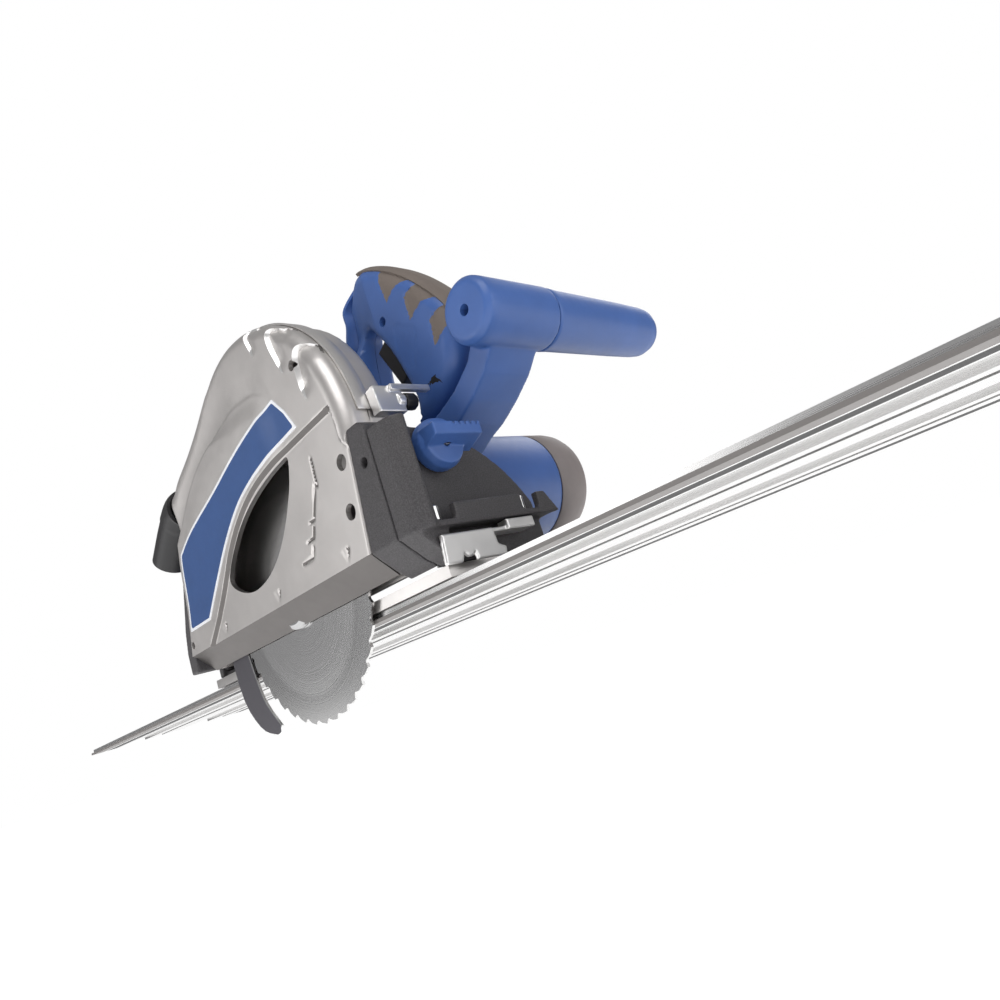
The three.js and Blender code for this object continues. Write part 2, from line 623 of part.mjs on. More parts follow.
function motorHousing() {
  const { nose, r, y0, step, cap } = MOTOR;
  const profile = [
    [nose - 3, y0], [nose, y0], [nose, step - 0.6], [r - 3, step], [r, step + 3], [r, cap],
    [r - 3.4, cap], [r - 3.4, step + 3.6], [nose - 3, step + 2.4], [nose - 3, y0],
  ];
  const spider = join(
    turnedY(tube(11.3, 14, 36.6, 43), MOTOR.x, MOTOR.z),
    ...[0, 1, 2].map((i) => {
      const a = rad(30 + 120 * i);
      const web = solid(new THREE.BoxGeometry(16, 5, 5).translate(20, 39.5, 0).rotateY(-a));
      return web.translate([MOTOR.x, 0, MOTOR.z]);
    }),
  );
  const brushes = BRUSH.sides.map((side) => towards(side, turnedZ(rod(BRUSH.bore, 0, 60), 0, 0, 16)));
  return cut(join(turnedY(profile, MOTOR.x, MOTOR.z, 28), spider), ...brushes);
}

// A shape written along +Z, set at the brushes and turned to the motor's upper or lower side.
function towards(side, shape) {
  return shape.rotate([side > 0 ? 0 : 180, 0, 0]).translate([MOTOR.x, BRUSH.y, MOTOR.z]);
}
piece(plunge, "motor_housing", motorHousing(), BLUE);

const CAP_PROFILE = [[0, 14.5], [3.4, 14.5], [3.4, 34], [6, 34], [6, 40.6], [0, 40.6]];
BRUSH.sides.forEach((side, i) => {
  piece(plunge, "brush_cap_" + (i + 1), towards(side, turnedZ(CAP_PROFILE, 0, 0, 16)), BLACK);
});

function endCap() {
  const { r, cap, end } = MOTOR;
  const y = cap + GAP;
  const profile = [
    [r - 4, y], [r, y], [r, end - 9], [r - 3, end - 3], [r - 9, end], [0, end],
    [0, end - 4], [r - 10, end - 4], [r - 4, end - 10], [r - 4, y],
  ];
  const slots = Array.from({ length: 6 }, (_, i) => {
    const a = rad(60 * i);
    const s = solid(new THREE.BoxGeometry(14, 14, 4).translate(24, end, 0).rotateY(a));
    return s.translate([MOTOR.x, 0, MOTOR.z]);
  });
  return cut(turnedY(profile, MOTOR.x, MOTOR.z, 28), ...slots);
}
piece(plunge, "motor_end_cap", endCap(), GREY_PLASTIC);
piece(plunge, "stator", turnedY(tube(25.5, MOTOR.r - 3.8, 82, 140), MOTOR.x, MOTOR.z, 28), STEEL);

// ---------------------------------------------------------------- D-handle
const GRIP_OUTLINE = [
  [36, 88], [50, 80], [80, 80], [92, 94.5], [114, 101], [130, 108], [144, 117], [151, 132],
  [152, 148], [146, 161], [131, 181], [115, 197], [100, 208], [88, 214.5], [76, 216.5],
  [64, 212.5], [53, 205.5], [55, 194], [50, 178], [48, 150], [44, 112],
];
const FINGERS = [
  [62, 112], [72, 103], [92, 99.5], [101, 103], [104, 112], [103.5, 122], [100.5, 133], [97, 145],
  [92, 157], [84, 169.5], [77, 176], [70, 174], [66, 165], [63, 145],
];

// A rectangle in XZ along the grip's underside: u runs down the grip, v into it.
function underGrip(u0, u1, v0, v1) {
  const a = rad(TRIGGER.tilt);
  const at = (u, v) => [
    TRIGGER.x + u * Math.cos(a) - v * Math.sin(a),
    TRIGGER.z + u * Math.sin(a) + v * Math.cos(a),
  ];
  return [at(u0, v0), at(u1, v0), at(u1, v1), at(u0, v1)];
}

// The motor's nose and barrel, enlarged: the handle and the front arm are seated round them.
function motorNose(clearance) {
  return turnedY(rod(MOTOR.nose + clearance, 30, HANDLE.left + 1), MOTOR.x, MOTOR.z, 28);
}
const motorBarrel = turnedY(rod(MOTOR.r + 0.6, MOTOR.step - 0.9, 90), MOTOR.x, MOTOR.z, 28);

function handleShell(y0, y1, room0, room1) {
  const skin = alongY(GRIP_OUTLINE, y0, y1, [FINGERS]);
  const walls = inset(GRIP_OUTLINE, HANDLE.wall);
  const ring = alongY(inset(FINGERS, -HANDLE.wall), room0 - 1, room1 + 1);
  const room = cut(alongY(walls, room0, room1), ring, motorNose(0.4 + HANDLE.wall));
  const well = alongY(underGrip(-18, 18, -15, 16), HANDLE.split - 8, HANDLE.split + 8);
  const inlet = turnedX(rod(5.4, 30, 60), HANDLE.split, 118);
  return cut(skin, room, well, motorNose(0.4), motorBarrel, inlet);
}
const rightRoom = [HANDLE.right + HANDLE.wall, HANDLE.split + 1];
const leftRoom = [HANDLE.split - 1, HANDLE.left - HANDLE.wall];

piece(plunge, "handle_right_shell",
  handleShell(HANDLE.right, HANDLE.split - GAP / 2, ...rightRoom), BLUE);
piece(plunge, "handle_left_shell",
  cut(
    handleShell(HANDLE.split + GAP / 2, HANDLE.left, ...leftRoom),
    turnedY(rod(RELEASE.r + GAP, HANDLE.left - 6, HANDLE.left + 6), RELEASE.x, RELEASE.z),
  ), BLUE);
piece(plunge, "switch_body",
  alongY(underGrip(-14, 14, 24, 38), HANDLE.split - 7, HANDLE.split + 7), BLACK);

function softGrip() {
  const outer = inset(GRIP_OUTLINE, -2.6).slice(8, 15);
  const inner = inset(GRIP_OUTLINE, -0.4).slice(8, 15).reverse();
  return alongY([...outer, ...inner], HANDLE.right + 1, HANDLE.left - 1);
}
piece(plunge, "grip_pad", softGrip(), RUBBER);

const GLAND_PROFILE = [
  [4.2, 22], [5.6, 22], [7, 38], [7, 43], [5, 43.4], [5, 52], [4.2, 52], [4.2, 22],
];
piece(plunge, "cord_gland", turnedX(GLAND_PROFILE, HANDLE.split, 118, 16), BLACK);

const trigger = body();
const triggerSide = underGrip(-TRIGGER.length / 2, TRIGGER.length / 2, -13, 14);
piece(trigger, "trigger", alongY(triggerSide, HANDLE.split - 6.5, HANDLE.split + 6.5), BLACK);

const release = body();
const RELEASE_PROFILE = [
  [0, HANDLE.left - 2.5],
  [RELEASE.r, HANDLE.left - 2.5],
  [RELEASE.r, HANDLE.left + 3],
  [RELEASE.r - 1, HANDLE.left + 4.5],
  [0, HANDLE.left + 4.5],
];
piece(release, "plunge_release_button",
  turnedY(RELEASE_PROFILE, RELEASE.x, RELEASE.z, 20), BLACK);

const lock = body();
piece(lock, "spindle_lock_button",
  join(
    turnedY(rod(LOCK.r, 34.2, 38), LOCK.x, LOCK.z, 16),
    turnedY(rod(LOCK.r - 1, 37, 41), LOCK.x, LOCK.z, 16),
    turnedY([[0, 40.5], [7, 40.5], [7, 46], [6, 47.5], [0, 47.5]], LOCK.x, LOCK.z, 20),
  ), BLACK);

// ---------------------------------------------------------------- front arm and bar handle
function frontArm() {
  const top = [[168, 122], [157, 110], [141, 101], [124, 95.5], [106, 93], [88, 86], [74, 72]];
  const under = [
    [74, 56], [88, 60], [100, 64], [112, 74], [124, 79.5], [136, 83], [151, 90], [166, 99],
    [180, 112],
  ];
  const arm = alongY([...under, ...top], 39, 76);
  const { x, z, r, right, seam } = BAR;
  const barrel = turnedY([[0, right], [r - 3, right], [r, right + 3], [r, seam], [0, seam]], x, z, 28);
  const screwHole = turnedY(rod(3, right - 1, right + 12), x, z, 12);
  return cut(join(arm, barrel), motorBarrel, motorNose(0.4), screwHole);
}
piece(plunge, "front_arm", frontArm(), BLUE);
const BAR_PROFILE = [
  [0, BAR.seam + GAP],
  [BAR.r - 0.5, BAR.seam + GAP],
  [BAR.r - 0.2, BAR.seam + 2],
  [BAR.tip + 1, BAR.left - 30],
  [BAR.tip, BAR.left - 10],
  [BAR.tip - 3, BAR.left - 3],
  [BAR.tip - 9, BAR.left],
  [0, BAR.left],
];
piece(plunge, "front_bar_grip", turnedY(BAR_PROFILE, BAR.x, BAR.z, 28), BLUE);

// ---------------------------------------------------------------- blade, knife and gear train
// Sickle-shaped riving knife behind the blade, thinner than the cut.
function rivingKnife() {
  const line = (points, steps) =>
    new THREE.SplineCurve(points.map(([x, z]) => new THREE.Vector2(x, z)))
      .getPoints(steps)
      .map((p) => [p.x, p.y]);
  const inner = line(
    [[-96, 46], [-93, 28], [-91.6, 12], [-87.1, -12.3], [-81.8, -25.3], [-69.5, -40.6]], 14);
  const outer = line([[-71.1, -45.1], [-79.5, -46], [-99.7, -37.6], [-116, -11.5], [-119, 42]], 14);
  return cut(
    alongY([...inner, ...outer], -1, 1),
    turnedY(rod(3.3, -3, 3), PIVOT.x + 22, PIVOT.z + 1, 12),
  );
}
piece(plunge, "riving_knife", rivingKnife(), KNIFE_STEEL);
piece(plunge, "knife_screw",
  join(
    turnedY(rod(2.2, -3, 10), PIVOT.x + 22, PIVOT.z + 1, 12),
    turnedY(rod(5.5, -4.5, -1.3), PIVOT.x + 22, PIVOT.z + 1, 16),
  ), STEEL);

const blade = body();
function bladeOutline() {
  const step = 360 / BLADE.teeth;
  const corners = [[BLADE.r - 4.5, 0], [BLADE.r - 1, 0.4], [BLADE.r, 0.82]];
  return Array.from({ length: BLADE.teeth }, (_, i) =>
    corners.map(([r, share]) => arc(SPINDLE.x, SPINDLE.z, r, (i + share) * step, 0, 1)[0]),
  ).flat();
}
const bladeBore = circle(SPINDLE.x, SPINDLE.z, 10, 24);
piece(blade, "saw_blade",
  alongY(bladeOutline(), -BLADE.body / 2, BLADE.body / 2, [bladeBore]), BRIGHT);

const OUTER_FLANGE = [
  [6, -6.5], [FLANGE_R - 3, -6.5], [FLANGE_R, -4], [FLANGE_R, -1.25], [6, -1.25], [6, -6.5],
];
piece(blade, "outer_flange", turnedY(OUTER_FLANGE, SPINDLE.x, SPINDLE.z, 28), STEEL);

const INNER_FLANGE = [
  [SPINDLE.r + 0.3, 1.25], [FLANGE_R - 2, 1.25], [FLANGE_R - 2, 4], [12, 7.4],
  [SPINDLE.r + 0.3, 7.4], [SPINDLE.r + 0.3, 1.25],
];
piece(blade, "inner_flange", turnedY(INNER_FLANGE, SPINDLE.x, SPINDLE.z, 28), STEEL);
piece(blade, "blade_bolt",
  cut(
    join(
      turnedY(rod(4, -8, 9), SPINDLE.x, SPINDLE.z, 16),
      turnedY(rod(9, -10.5, -6.8), SPINDLE.x, SPINDLE.z, 24),
    ),
    turnedY(rod(3.4, -11, -8), SPINDLE.x, SPINDLE.z, 6),
  ), STEEL);
piece(blade, "spindle",
  cut(
    join(
      turnedY(rod(SPINDLE.r, 1.3, 36), SPINDLE.x, SPINDLE.z, 24),
      turnedY(rod(4.6, 35, 44), SPINDLE.x, SPINDLE.z, 16),
    ),
    turnedY(rod(4.3, 0, 10), SPINDLE.x, SPINDLE.z, 16),
  ), STEEL);

// A spur gear's outline; turn is the direction of the middle of its first tooth, in radians.
function gearOutline(x, z, teeth, turn) {
  const pitch = (MODULE * teeth) / 2;
  const step = (2 * Math.PI) / teeth;
  const root = pitch - 1.4;
  const tip = pitch + 0.95;
  const corners = [[root, -0.27], [tip, -0.11], [tip, 0.11], [root, 0.27]];
  return Array.from({ length: teeth }, (_, i) =>
    corners.map(([r, share]) => {
      const a = turn + (i + share) * step;
      return [x + r * Math.cos(a), z + r * Math.sin(a)];
    }),
  ).flat();
}

// The first tooth's direction on a gear that meshes with another at their line of centres.
function meshed(from, fromTeeth, fromTurn, to, toTeeth) {
  const along = Math.atan2(to.z - from.z, to.x - from.x);
  const teethPast = ((along - fromTurn) * fromTeeth) / (2 * Math.PI);
  return along + Math.PI - ((0.5 - teethPast) * 2 * Math.PI) / toTeeth;
}
const idlerTurn0 = meshed(SPINDLE, SPINDLE_TEETH, 0, IDLER, IDLER_TEETH);
const pinionTurn0 = meshed(IDLER, IDLER_TEETH, idlerTurn0, MOTOR, PINION_TEETH);

piece(blade, "spindle_gear",
  alongY(gearOutline(SPINDLE.x, SPINDLE.z, SPINDLE_TEETH, 0), GEAR.y0, GEAR.y1,
    [circle(SPINDLE.x, SPINDLE.z, SPINDLE.r + 0.3, 24)]), STEEL);

const idler = body();
piece(idler, "idler_gear",
  join(
    alongY(gearOutline(IDLER.x, IDLER.z, IDLER_TEETH, idlerTurn0), GEAR.y0, GEAR.y1),
    turnedY(rod(4, 18.4, 35), IDLER.x, IDLER.z, 16),
    turnedY(rod(9, 29, 31), IDLER.x, IDLER.z, 16),
  ), STEEL);

const armature = body();
piece(armature, "armature_shaft",
  join(
    alongY(gearOutline(MOTOR.x, MOTOR.z, PINION_TEETH, pinionTurn0), GEAR.y0 - 0.5, GEAR.y1 + 1),
    turnedY(rod(4, 29.5, 192), MOTOR.x, MOTOR.z, 16),
  ), STEEL);
const onShaft = (r, a, b, n = 20) => turnedY(tube(4.3, r, a, b), MOTOR.x, MOTOR.z, n);
const FAN_BLADES = Array.from({ length: 9 }, (_, i) => 7 + 40 * i);
piece(armature, "cooling_fan",
  join(
    onShaft(33, 70, 72, 20),
    onShaft(10.3, 71, 80, 12),
    ...FAN_BLADES.map((degrees) => {
      const vane = new THREE.BoxGeometry(22, 7, 1.6).translate(20, 75, 0);
      return solid(vane.rotateY(rad(degrees))).translate([MOTOR.x, 0, MOTOR.z]);
    }),
  ), BLACK);
piece(armature, "armature_core",
  join(onShaft(24.6, 84, 138), onShaft(13, 146, 163), onShaft(8, 130, 150)), COPPER);

export default part;
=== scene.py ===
"""A track plunge saw on its guide rail: the looks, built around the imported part.

Shapes are written in the saw's own frame, in millimetres: X forwards along the rail, Y from the
blade's plane to the motor, Z up from the rail's top. finished() takes them to the part's frame.
"""

import math

import bmesh
import bpy
import numpy as np
from mathutils import Matrix, Vector
from mathutils.geometry import delaunay_2d_cdt


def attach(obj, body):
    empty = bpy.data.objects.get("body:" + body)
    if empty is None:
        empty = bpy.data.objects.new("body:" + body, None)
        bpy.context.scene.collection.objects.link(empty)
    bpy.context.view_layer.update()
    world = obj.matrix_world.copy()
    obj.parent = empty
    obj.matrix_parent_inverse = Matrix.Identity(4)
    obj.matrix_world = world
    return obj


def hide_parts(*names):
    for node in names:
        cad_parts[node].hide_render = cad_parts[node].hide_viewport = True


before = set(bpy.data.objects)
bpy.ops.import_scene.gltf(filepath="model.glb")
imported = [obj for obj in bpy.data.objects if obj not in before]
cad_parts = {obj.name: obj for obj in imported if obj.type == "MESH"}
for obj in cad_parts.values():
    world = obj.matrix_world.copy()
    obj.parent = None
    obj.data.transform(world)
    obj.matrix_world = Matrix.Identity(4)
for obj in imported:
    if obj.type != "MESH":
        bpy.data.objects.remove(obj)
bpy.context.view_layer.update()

MM = 0.001
SAW_TO_PART = Matrix.Translation((0, -0.095, 0.005)) @ Matrix.Scale(MM, 4)
SCENE = bpy.context.scene

SPINDLE = (-9.5, 33.5)  # X, Z
MOTOR = (52.8, 67.3)
BLADE_TEETH = 40
GUARD = (15, 95)
GUARD_R = 100
PIVOT = (-124, 38)
BAR = (180, 127)
BOLT_YZ = (17.5, 70.3)  # the bevel knobs' axis
HANDLE_Y = (43, 71)
HANDLE_MIDDLE = 57
UPPER_FACE = -19.2  # Y of the guard's upper field
LOWER_FACE = -17.2  # and of its lower, recessed field


# ---------------------------------------------------------------- outlines
def arc(cx, cy, r, a0, a1, steps):
    """Points on an arc between two angles in degrees, both ends included."""
    angles = np.radians(np.linspace(a0, a1, steps + 1))
    return [(cx + r * math.cos(a), cy + r * math.sin(a)) for a in angles]


def ring(cx, cy, r, steps=32):
    return arc(cx, cy, r, 0, 360, steps)[:-1]


def curve_through(points, per=8, closed=False):
    """A smooth line through the points (Catmull-Rom)."""
    p = [Vector(q) for q in points]
    n = len(p)
    last = n if closed else n - 1
    out = []
    for i in range(last):
        a = p[(i - 1) % n] if closed or i else p[0]
        b, c = p[i], p[(i + 1) % n]
        d = p[(i + 2) % n] if closed or i + 2 < n else p[-1]
        for k in range(per):
            t = k / per
            out.append(0.5 * (2 * b + (c - a) * t + (2 * a - 5 * b + 4 * c - d) * t * t
                              + (3 * b - a - 3 * c + d) * t ** 3))
    if not closed:
        out.append(p[-1])
    return [tuple(q) for q in out]


def resampled(points, spacing):
    """A closed outline with points no further apart than spacing."""
    out = []
    for a, b in zip(points, points[1:] + points[:1]):
        a, b = Vector(a), Vector(b)
        n = max(1, math.ceil((b - a).length / spacing))
        out += [tuple(a.lerp(b, k / n)) for k in range(n)]
    return out


def distance(x, z, line, closed=False):
    """Distance from points to a line of points, and its sign: positive to the line's right."""
    pts = np.array(line)
    a = pts if closed else pts[:-1]
    b = np.roll(pts, -1, 0) if closed else pts[1:]
    best = np.full(x.shape, 1e9)
    side = np.ones(x.shape)
    for (ax, az), (bx, bz) in zip(a, b):
        ux, uz = bx - ax, bz - az
        t = np.clip(((x - ax) * ux + (z - az) * uz) / max(ux * ux + uz * uz, 1e-9), 0, 1)
        d = np.hypot(x - ax - t * ux, z - az - t * uz)
        near = d < best
        best = np.where(near, d, best)
        cross = (x - ax) * uz - (z - az) * ux
        side = np.where(near, np.where(cross >= 0, 1.0, -1.0), side)
    return best, side


def inside(x, z, outline):
    """Which points are inside a closed outline."""
    within = np.zeros(np.shape(x), bool)
    for (ax, az), (bx, bz) in zip(outline, outline[1:] + outline[:1]):
        if az != bz:
            crossing = ((az > z) != (bz > z)) & (x < (bx - ax) * (z - az) / (bz - az) + ax)
            within ^= crossing
    return within


def beside(line, d, closed=False):
    """A line moved by d to its left, without the points that would come closer than that."""
    pts = np.array(line)
    along = np.roll(pts, -1, 0) - np.roll(pts, 1, 0) if closed else np.gradient(pts, axis=0)
    normal = np.stack([-along[:, 1], along[:, 0]], 1)
    normal /= np.linalg.norm(normal, axis=1)[:, None]
    moved = pts + normal * d
    away, _ = distance(moved[:, 0], moved[:, 1], line, closed)
    return [tuple(p) for p, a in zip(moved, away) if a > 0.93 * abs(d)]


def smooth(t):
    t = np.clip(t, 0, 1)
    return t * t * (3 - 2 * t)


# ---------------------------------------------------------------- solids
def raw(verts, faces, name="work"):
    mesh = bpy.data.meshes.new(name)
    mesh.from_pydata([tuple(v) for v in verts], [], [tuple(f) for f in faces])
    mesh.update()
    obj = bpy.data.objects.new(name, mesh)
    SCENE.collection.objects.link(obj)
    return obj


def outward(obj):
    """The object with all its faces turned outwards."""
    bm = bmesh.new()
    bm.from_mesh(obj.data)
    bmesh.ops.remove_doubles(bm, verts=bm.verts, dist=1e-4)
    bmesh.ops.recalc_face_normals(bm, faces=bm.faces)
    bm.to_mesh(obj.data)
    bm.free()
    return obj


PLACES = {  # where an outline's two numbers and the depth go, for each axis
    "X": lambda u, v, w: (w, u, v),
    "Y": lambda u, v, w: (u, w, v),
    "Z": lambda u, v, w: (u, v, w),
}


def prism(axis, outline, a, b):
    """An outline drawn out along an axis between a and b."""
    place = PLACES[axis]
    n = len(outline)
    verts = [place(u, v, w) for w in (a, b) for u, v in outline]
    sides = [(i, (i + 1) % n, n + (i + 1) % n, n + i) for i in range(n)]
    return outward(raw(verts, sides + [tuple(range(n)), tuple(range(n, 2 * n))]))


def brick(x0, x1, y0, y1, z0, z1):
    return prism("Z", [(x0, y0), (x1, y0), (x1, y1), (x0, y1)], z0, z1)


def turned(axis, profile, u, v, steps=48):
    """A profile of (radius, position) pairs turned about an axis through (u, v)."""
    place = PLACES[axis]
    verts, faces = [], []
    n = len(profile)
    for k in range(steps):
        a = 2 * math.pi * k / steps
        verts += [place(u + r * math.cos(a), v + r * math.sin(a), w) for r, w in profile]
    for k in range(steps):
        m = (k + 1) % steps
        for i in range(n - 1):
            faces.append((k * n + i, k * n + i + 1, m * n + i + 1, m * n + i))
    obj = raw(verts, faces)
    bm = bmesh.new()
    bm.from_mesh(obj.data)
    bmesh.ops.remove_doubles(bm, verts=bm.verts, dist=1e-4)
    bmesh.ops.holes_fill(bm, edges=[e for e in bm.edges if e.is_boundary])
    bmesh.ops.recalc_face_normals(bm, faces=bm.faces)
    bm.to_mesh(obj.data)
    bm.free()
    return obj


def pipe(path, radius, sides=24):
    """A closed round bar along a path of points; radius is one number or one for each point."""
    verts, faces = [], []
    pts = [Vector(p) for p in path]
    radii = radius if isinstance(radius, (list, tuple)) else [radius] * len(pts)
    up = None
    for i, (p, r) in enumerate(zip(pts, radii)):
        along = (pts[min(i + 1, len(pts) - 1)] - pts[max(i - 1, 0)]).normalized()
        if up is None:
            up = along.orthogonal()
        up = (up - along * up.dot(along)).normalized()
        side = along.cross(up)
        for k in range(sides):
            a = 2 * math.pi * k / sides
            verts.append(p + r * (math.cos(a) * up + math.sin(a) * side))
    for i in range(len(pts) - 1):
        for k in range(sides):
            m = (k + 1) % sides
            faces.append((i * sides + k, i * sides + m, (i + 1) * sides + m, (i + 1) * sides + k))
    faces += [tuple(range(sides)), tuple(range(len(verts) - sides, len(verts)))]
    return outward(raw(verts, faces))


def cad_copy(node):
    """A CAD node's own shape, in the saw's frame, to work on."""
    obj = bpy.data.objects.new("work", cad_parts[node].data.copy())
    SCENE.collection.objects.link(obj)
    obj.data.materials.clear()
    obj.data.transform(SAW_TO_PART.inverted())
    bm = bmesh.new()
    bm.from_mesh(obj.data)
    bmesh.ops.remove_doubles(bm, verts=bm.verts, dist=1e-3)
    bmesh.ops.dissolve_limit(bm, angle_limit=math.radians(1), verts=bm.verts, edges=bm.edges)
    bm.to_mesh(obj.data)
    bm.free()
    return obj


def settled(obj):
    """The object with its modifiers turned into plain mesh."""
    bpy.context.view_layer.update()
    done = bpy.data.meshes.new_from_object(
        obj.evaluated_get(bpy.context.evaluated_depsgraph_get()))
    obj.modifiers.clear()
    obj.data = done
    return obj


def with_bodies(obj, others, operation):
    for other in others:
        mod = obj.modifiers.new(operation, "BOOLEAN")
        mod.operation = operation
        mod.solver = "EXACT"
        mod.object = other
    settled(obj)
    for other in others:
        bpy.data.objects.remove(other)
    return obj


def cut(obj, *others):
    return with_bodies(obj, others, "DIFFERENCE")


def together(*objs):
    """The pieces as one object with several shells, for softened() to fuse."""
    bm = bmesh.new()
    for o in objs:
        bm.from_mesh(o.data)
    first = objs[0]
    bm.to_mesh(first.data)
    bm.free()
    for o in objs[1:]:
        bpy.data.objects.remove(o)
    return first


def softened(obj, voxel=1.0, rounds=6):
    """Fuses the shells and rounds every edge, as a casting or moulding is."""
    fuse = obj.modifiers.new("fuse", "REMESH")
    fuse.mode = "VOXEL"
    fuse.voxel_size = voxel
    ease = obj.modifiers.new("ease", "SMOOTH")
    ease.factor = 0.5
    ease.iterations = rounds
    return settled(obj)


def bevelled(obj, width=0.5, segments=2, angle=35):
    mod = obj.modifiers.new("bevel", "BEVEL")
    mod.width = width
    mod.segments = segments
    mod.limit_method = "ANGLE"
    mod.angle_limit = math.radians(angle)
    mod.use_clamp_overlap = True
    return settled(obj)


def finished(obj, name, body, material, replaces=(), sharp=35, paint=None):
    """Names a piece, takes it to the part's frame, shades it and lets it ride on its body.

    With several materials, paint(x, y, z, normal) gives the numbers of the faces' materials from
    the arrays of their middles and normals in the saw's frame.
    """
    obj.name = name
    obj.data.name = name
    obj.data.materials.clear()
    for m in material if isinstance(material, list) else [material]:
        obj.data.materials.append(m)
    faces = obj.data.polygons
    if paint:
        middles = np.array([p.center for p in faces])
        normals = np.array([p.normal for p in faces])
        faces.foreach_set("material_index", paint(*middles.T, normals).astype(np.int32))
    else:
        faces.foreach_set("material_index", np.zeros(len(faces), np.int32))
    faces.foreach_set("use_smooth", np.ones(len(faces), bool))
    obj.data.transform(SAW_TO_PART)
    obj.data.set_sharp_from_angle(angle=math.radians(sharp))
    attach(obj, body)
    if replaces:
        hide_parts(*([replaces] if isinstance(replaces, str) else replaces))
    return obj


# ---------------------------------------------------------------- materials
class Nodes:
    """Short names for building one node material."""

    def __init__(self, name, rough=0.5, metallic=0.0, **constants):
        self.material = bpy.data.materials.new(name)
        self.material.use_nodes = True
        self.tree = self.material.node_tree
        self.shader = self.tree.nodes["Principled BSDF"]
        self.shader.inputs["Roughness"].default_value = rough
        self.shader.inputs["Metallic"].default_value = metallic
        for key, value in constants.items():
            self.shader.inputs[key.replace("_", " ")].default_value = value
        self.where = self.add("ShaderNodeTexCoord").outputs["Object"]

    def add(self, kind, **settings):
        node = self.tree.nodes.new(kind)
        for key, value in settings.items():
            setattr(node, key, value)
        return node

    def link(self, a, b):
        self.tree.links.new(a, b)

    def put(self, node, **values):
        for key, value in values.items():
            socket = node.inputs[key.replace("_", " ")]
            if isinstance(value, bpy.types.NodeSocket):
                self.link(value, socket)
            else:
                socket.default_value = value
        return node

    def scaled(self, scale):
        node = self.add("ShaderNodeMapping")
        self.put(node, Vector=self.where, Scale=scale)
        return node.outputs["Vector"]

    def noise(self, scale, detail=3.0, stretch=(1, 1, 1), rough=0.5, distortion=0.0):
        node = self.add("ShaderNodeTexNoise")
        self.put(node, Vector=self.scaled(stretch), Scale=scale, Detail=detail, Roughness=rough,
                 Distortion=distortion)
        return node.outputs["Fac"]

    def cells(self, scale, feature="F1"):
        node = self.add("ShaderNodeTexVoronoi", feature=feature)
        self.put(node, Vector=self.where, Scale=scale)
        return node.outputs["Distance"]

    def ramp(self, value, stops):
        node = self.add("ShaderNodeValToRGB")
        self.link(value, node.inputs["Fac"])
        ramp = node.color_ramp
        while len(ramp.elements) < len(stops):
            ramp.elements.new(0.5)
        for element, (at, colour) in zip(ramp.elements, stops):
            element.position = at
            element.color = (*colour, 1) if isinstance(colour, tuple) else (colour,) * 3 + (1,)
        return node.outputs["Color"]

    def math(self, operation, a, b=0.0):
        node = self.add("ShaderNodeMath", operation=operation)
        for socket, value in zip(node.inputs, (a, b)):
            if isinstance(value, bpy.types.NodeSocket):
                self.link(value, socket)
            else:
                socket.default_value = value
        return node.outputs[0]

    def range(self, value, a, b, lo=0.0, hi=1.0):
        node = self.add("ShaderNodeMapRange")
        self.put(node, Value=value, From_Min=lo, From_Max=hi, To_Min=a, To_Max=b)
        return node.outputs["Result"]

    def colour(self, socket):
        self.link(socket, self.shader.inputs["Base Color"])
        return self

    def roughness(self, socket):
        self.link(socket, self.shader.inputs["Roughness"])
        return self

    def bump(self, height, strength, size):
        node = self.add("ShaderNodeBump")
        self.put(node, Height=height, Strength=strength, Distance=size * MM)
        old = self.shader.inputs["Normal"].links
        if old:
            self.link(old[0].from_socket, node.inputs["Normal"])
        self.link(node.outputs["Normal"], self.shader.inputs["Normal"])
        return self


def srgb(r, g, b, gain=1.0):
    def lin(c):
        c = c / 255
        return gain * (c / 12.92 if c <= 0.04045 else ((c + 0.055) / 1.055) ** 2.4)
    return (lin(r), lin(g), lin(b))


def shades(colour, low, high):
    return [(0.25, tuple(c * low for c in colour)), (0.75, tuple(c * high for c in colour))]


def cast_metal(name, colour, rough):
    n = Nodes(name, rough, 0.85)
    n.colour(n.ramp(n.noise(38, 4), shades(colour, 0.93, 1.05)))
    n.roughness(n.range(n.noise(160, 3), rough - 0.05, rough + 0.07))
    n.bump(n.noise(1400, 3), 0.10, 0.10)
    return n.material


def moulded(name, colour, rough, grain=2200, strength=0.2, coat=0.0):
    n = Nodes(name, rough, 0.0, Coat_Weight=coat, Coat_Roughness=0.25)
    n.colour(n.ramp(n.noise(60, 4), shades(colour, 0.93, 1.06)))
    n.roughness(n.range(n.noise(220, 2), rough - 0.05, rough + 0.06))
    n.bump(n.cells(grain), strength, 0.08)
    return n.material


def speckled(name, colour, rough):
    n = Nodes(name, rough, 0.1)
    flecks = n.noise(1500, 2, rough=0.7)
    dark = tuple(c * 0.7 for c in colour)
    light = tuple(c * 1.45 for c in colour)
    n.colour(n.ramp(flecks, [(0.36, dark), (0.5, colour), (0.68, light)]))
    n.roughness(n.range(n.noise(200, 3), rough - 0.06, rough + 0.08))
    n.bump(n.noise(2400, 2), 0.35, 0.15)
    return n.material


def drawn(name, colour, rough, along=(0.004, 1, 1), scale=900, metallic=1.0):
    """Metal with fine lines in one direction: stretch is small along the lines."""
    n = Nodes(name, rough, metallic)
    lines = n.noise(scale, 4, along, rough=0.65)
    n.colour(n.ramp(lines, shades(colour, 0.88, 1.06)))
    n.roughness(n.range(lines, rough - 0.07, rough + 0.1))
    n.bump(lines, 0.12, 0.05)
    return n.material


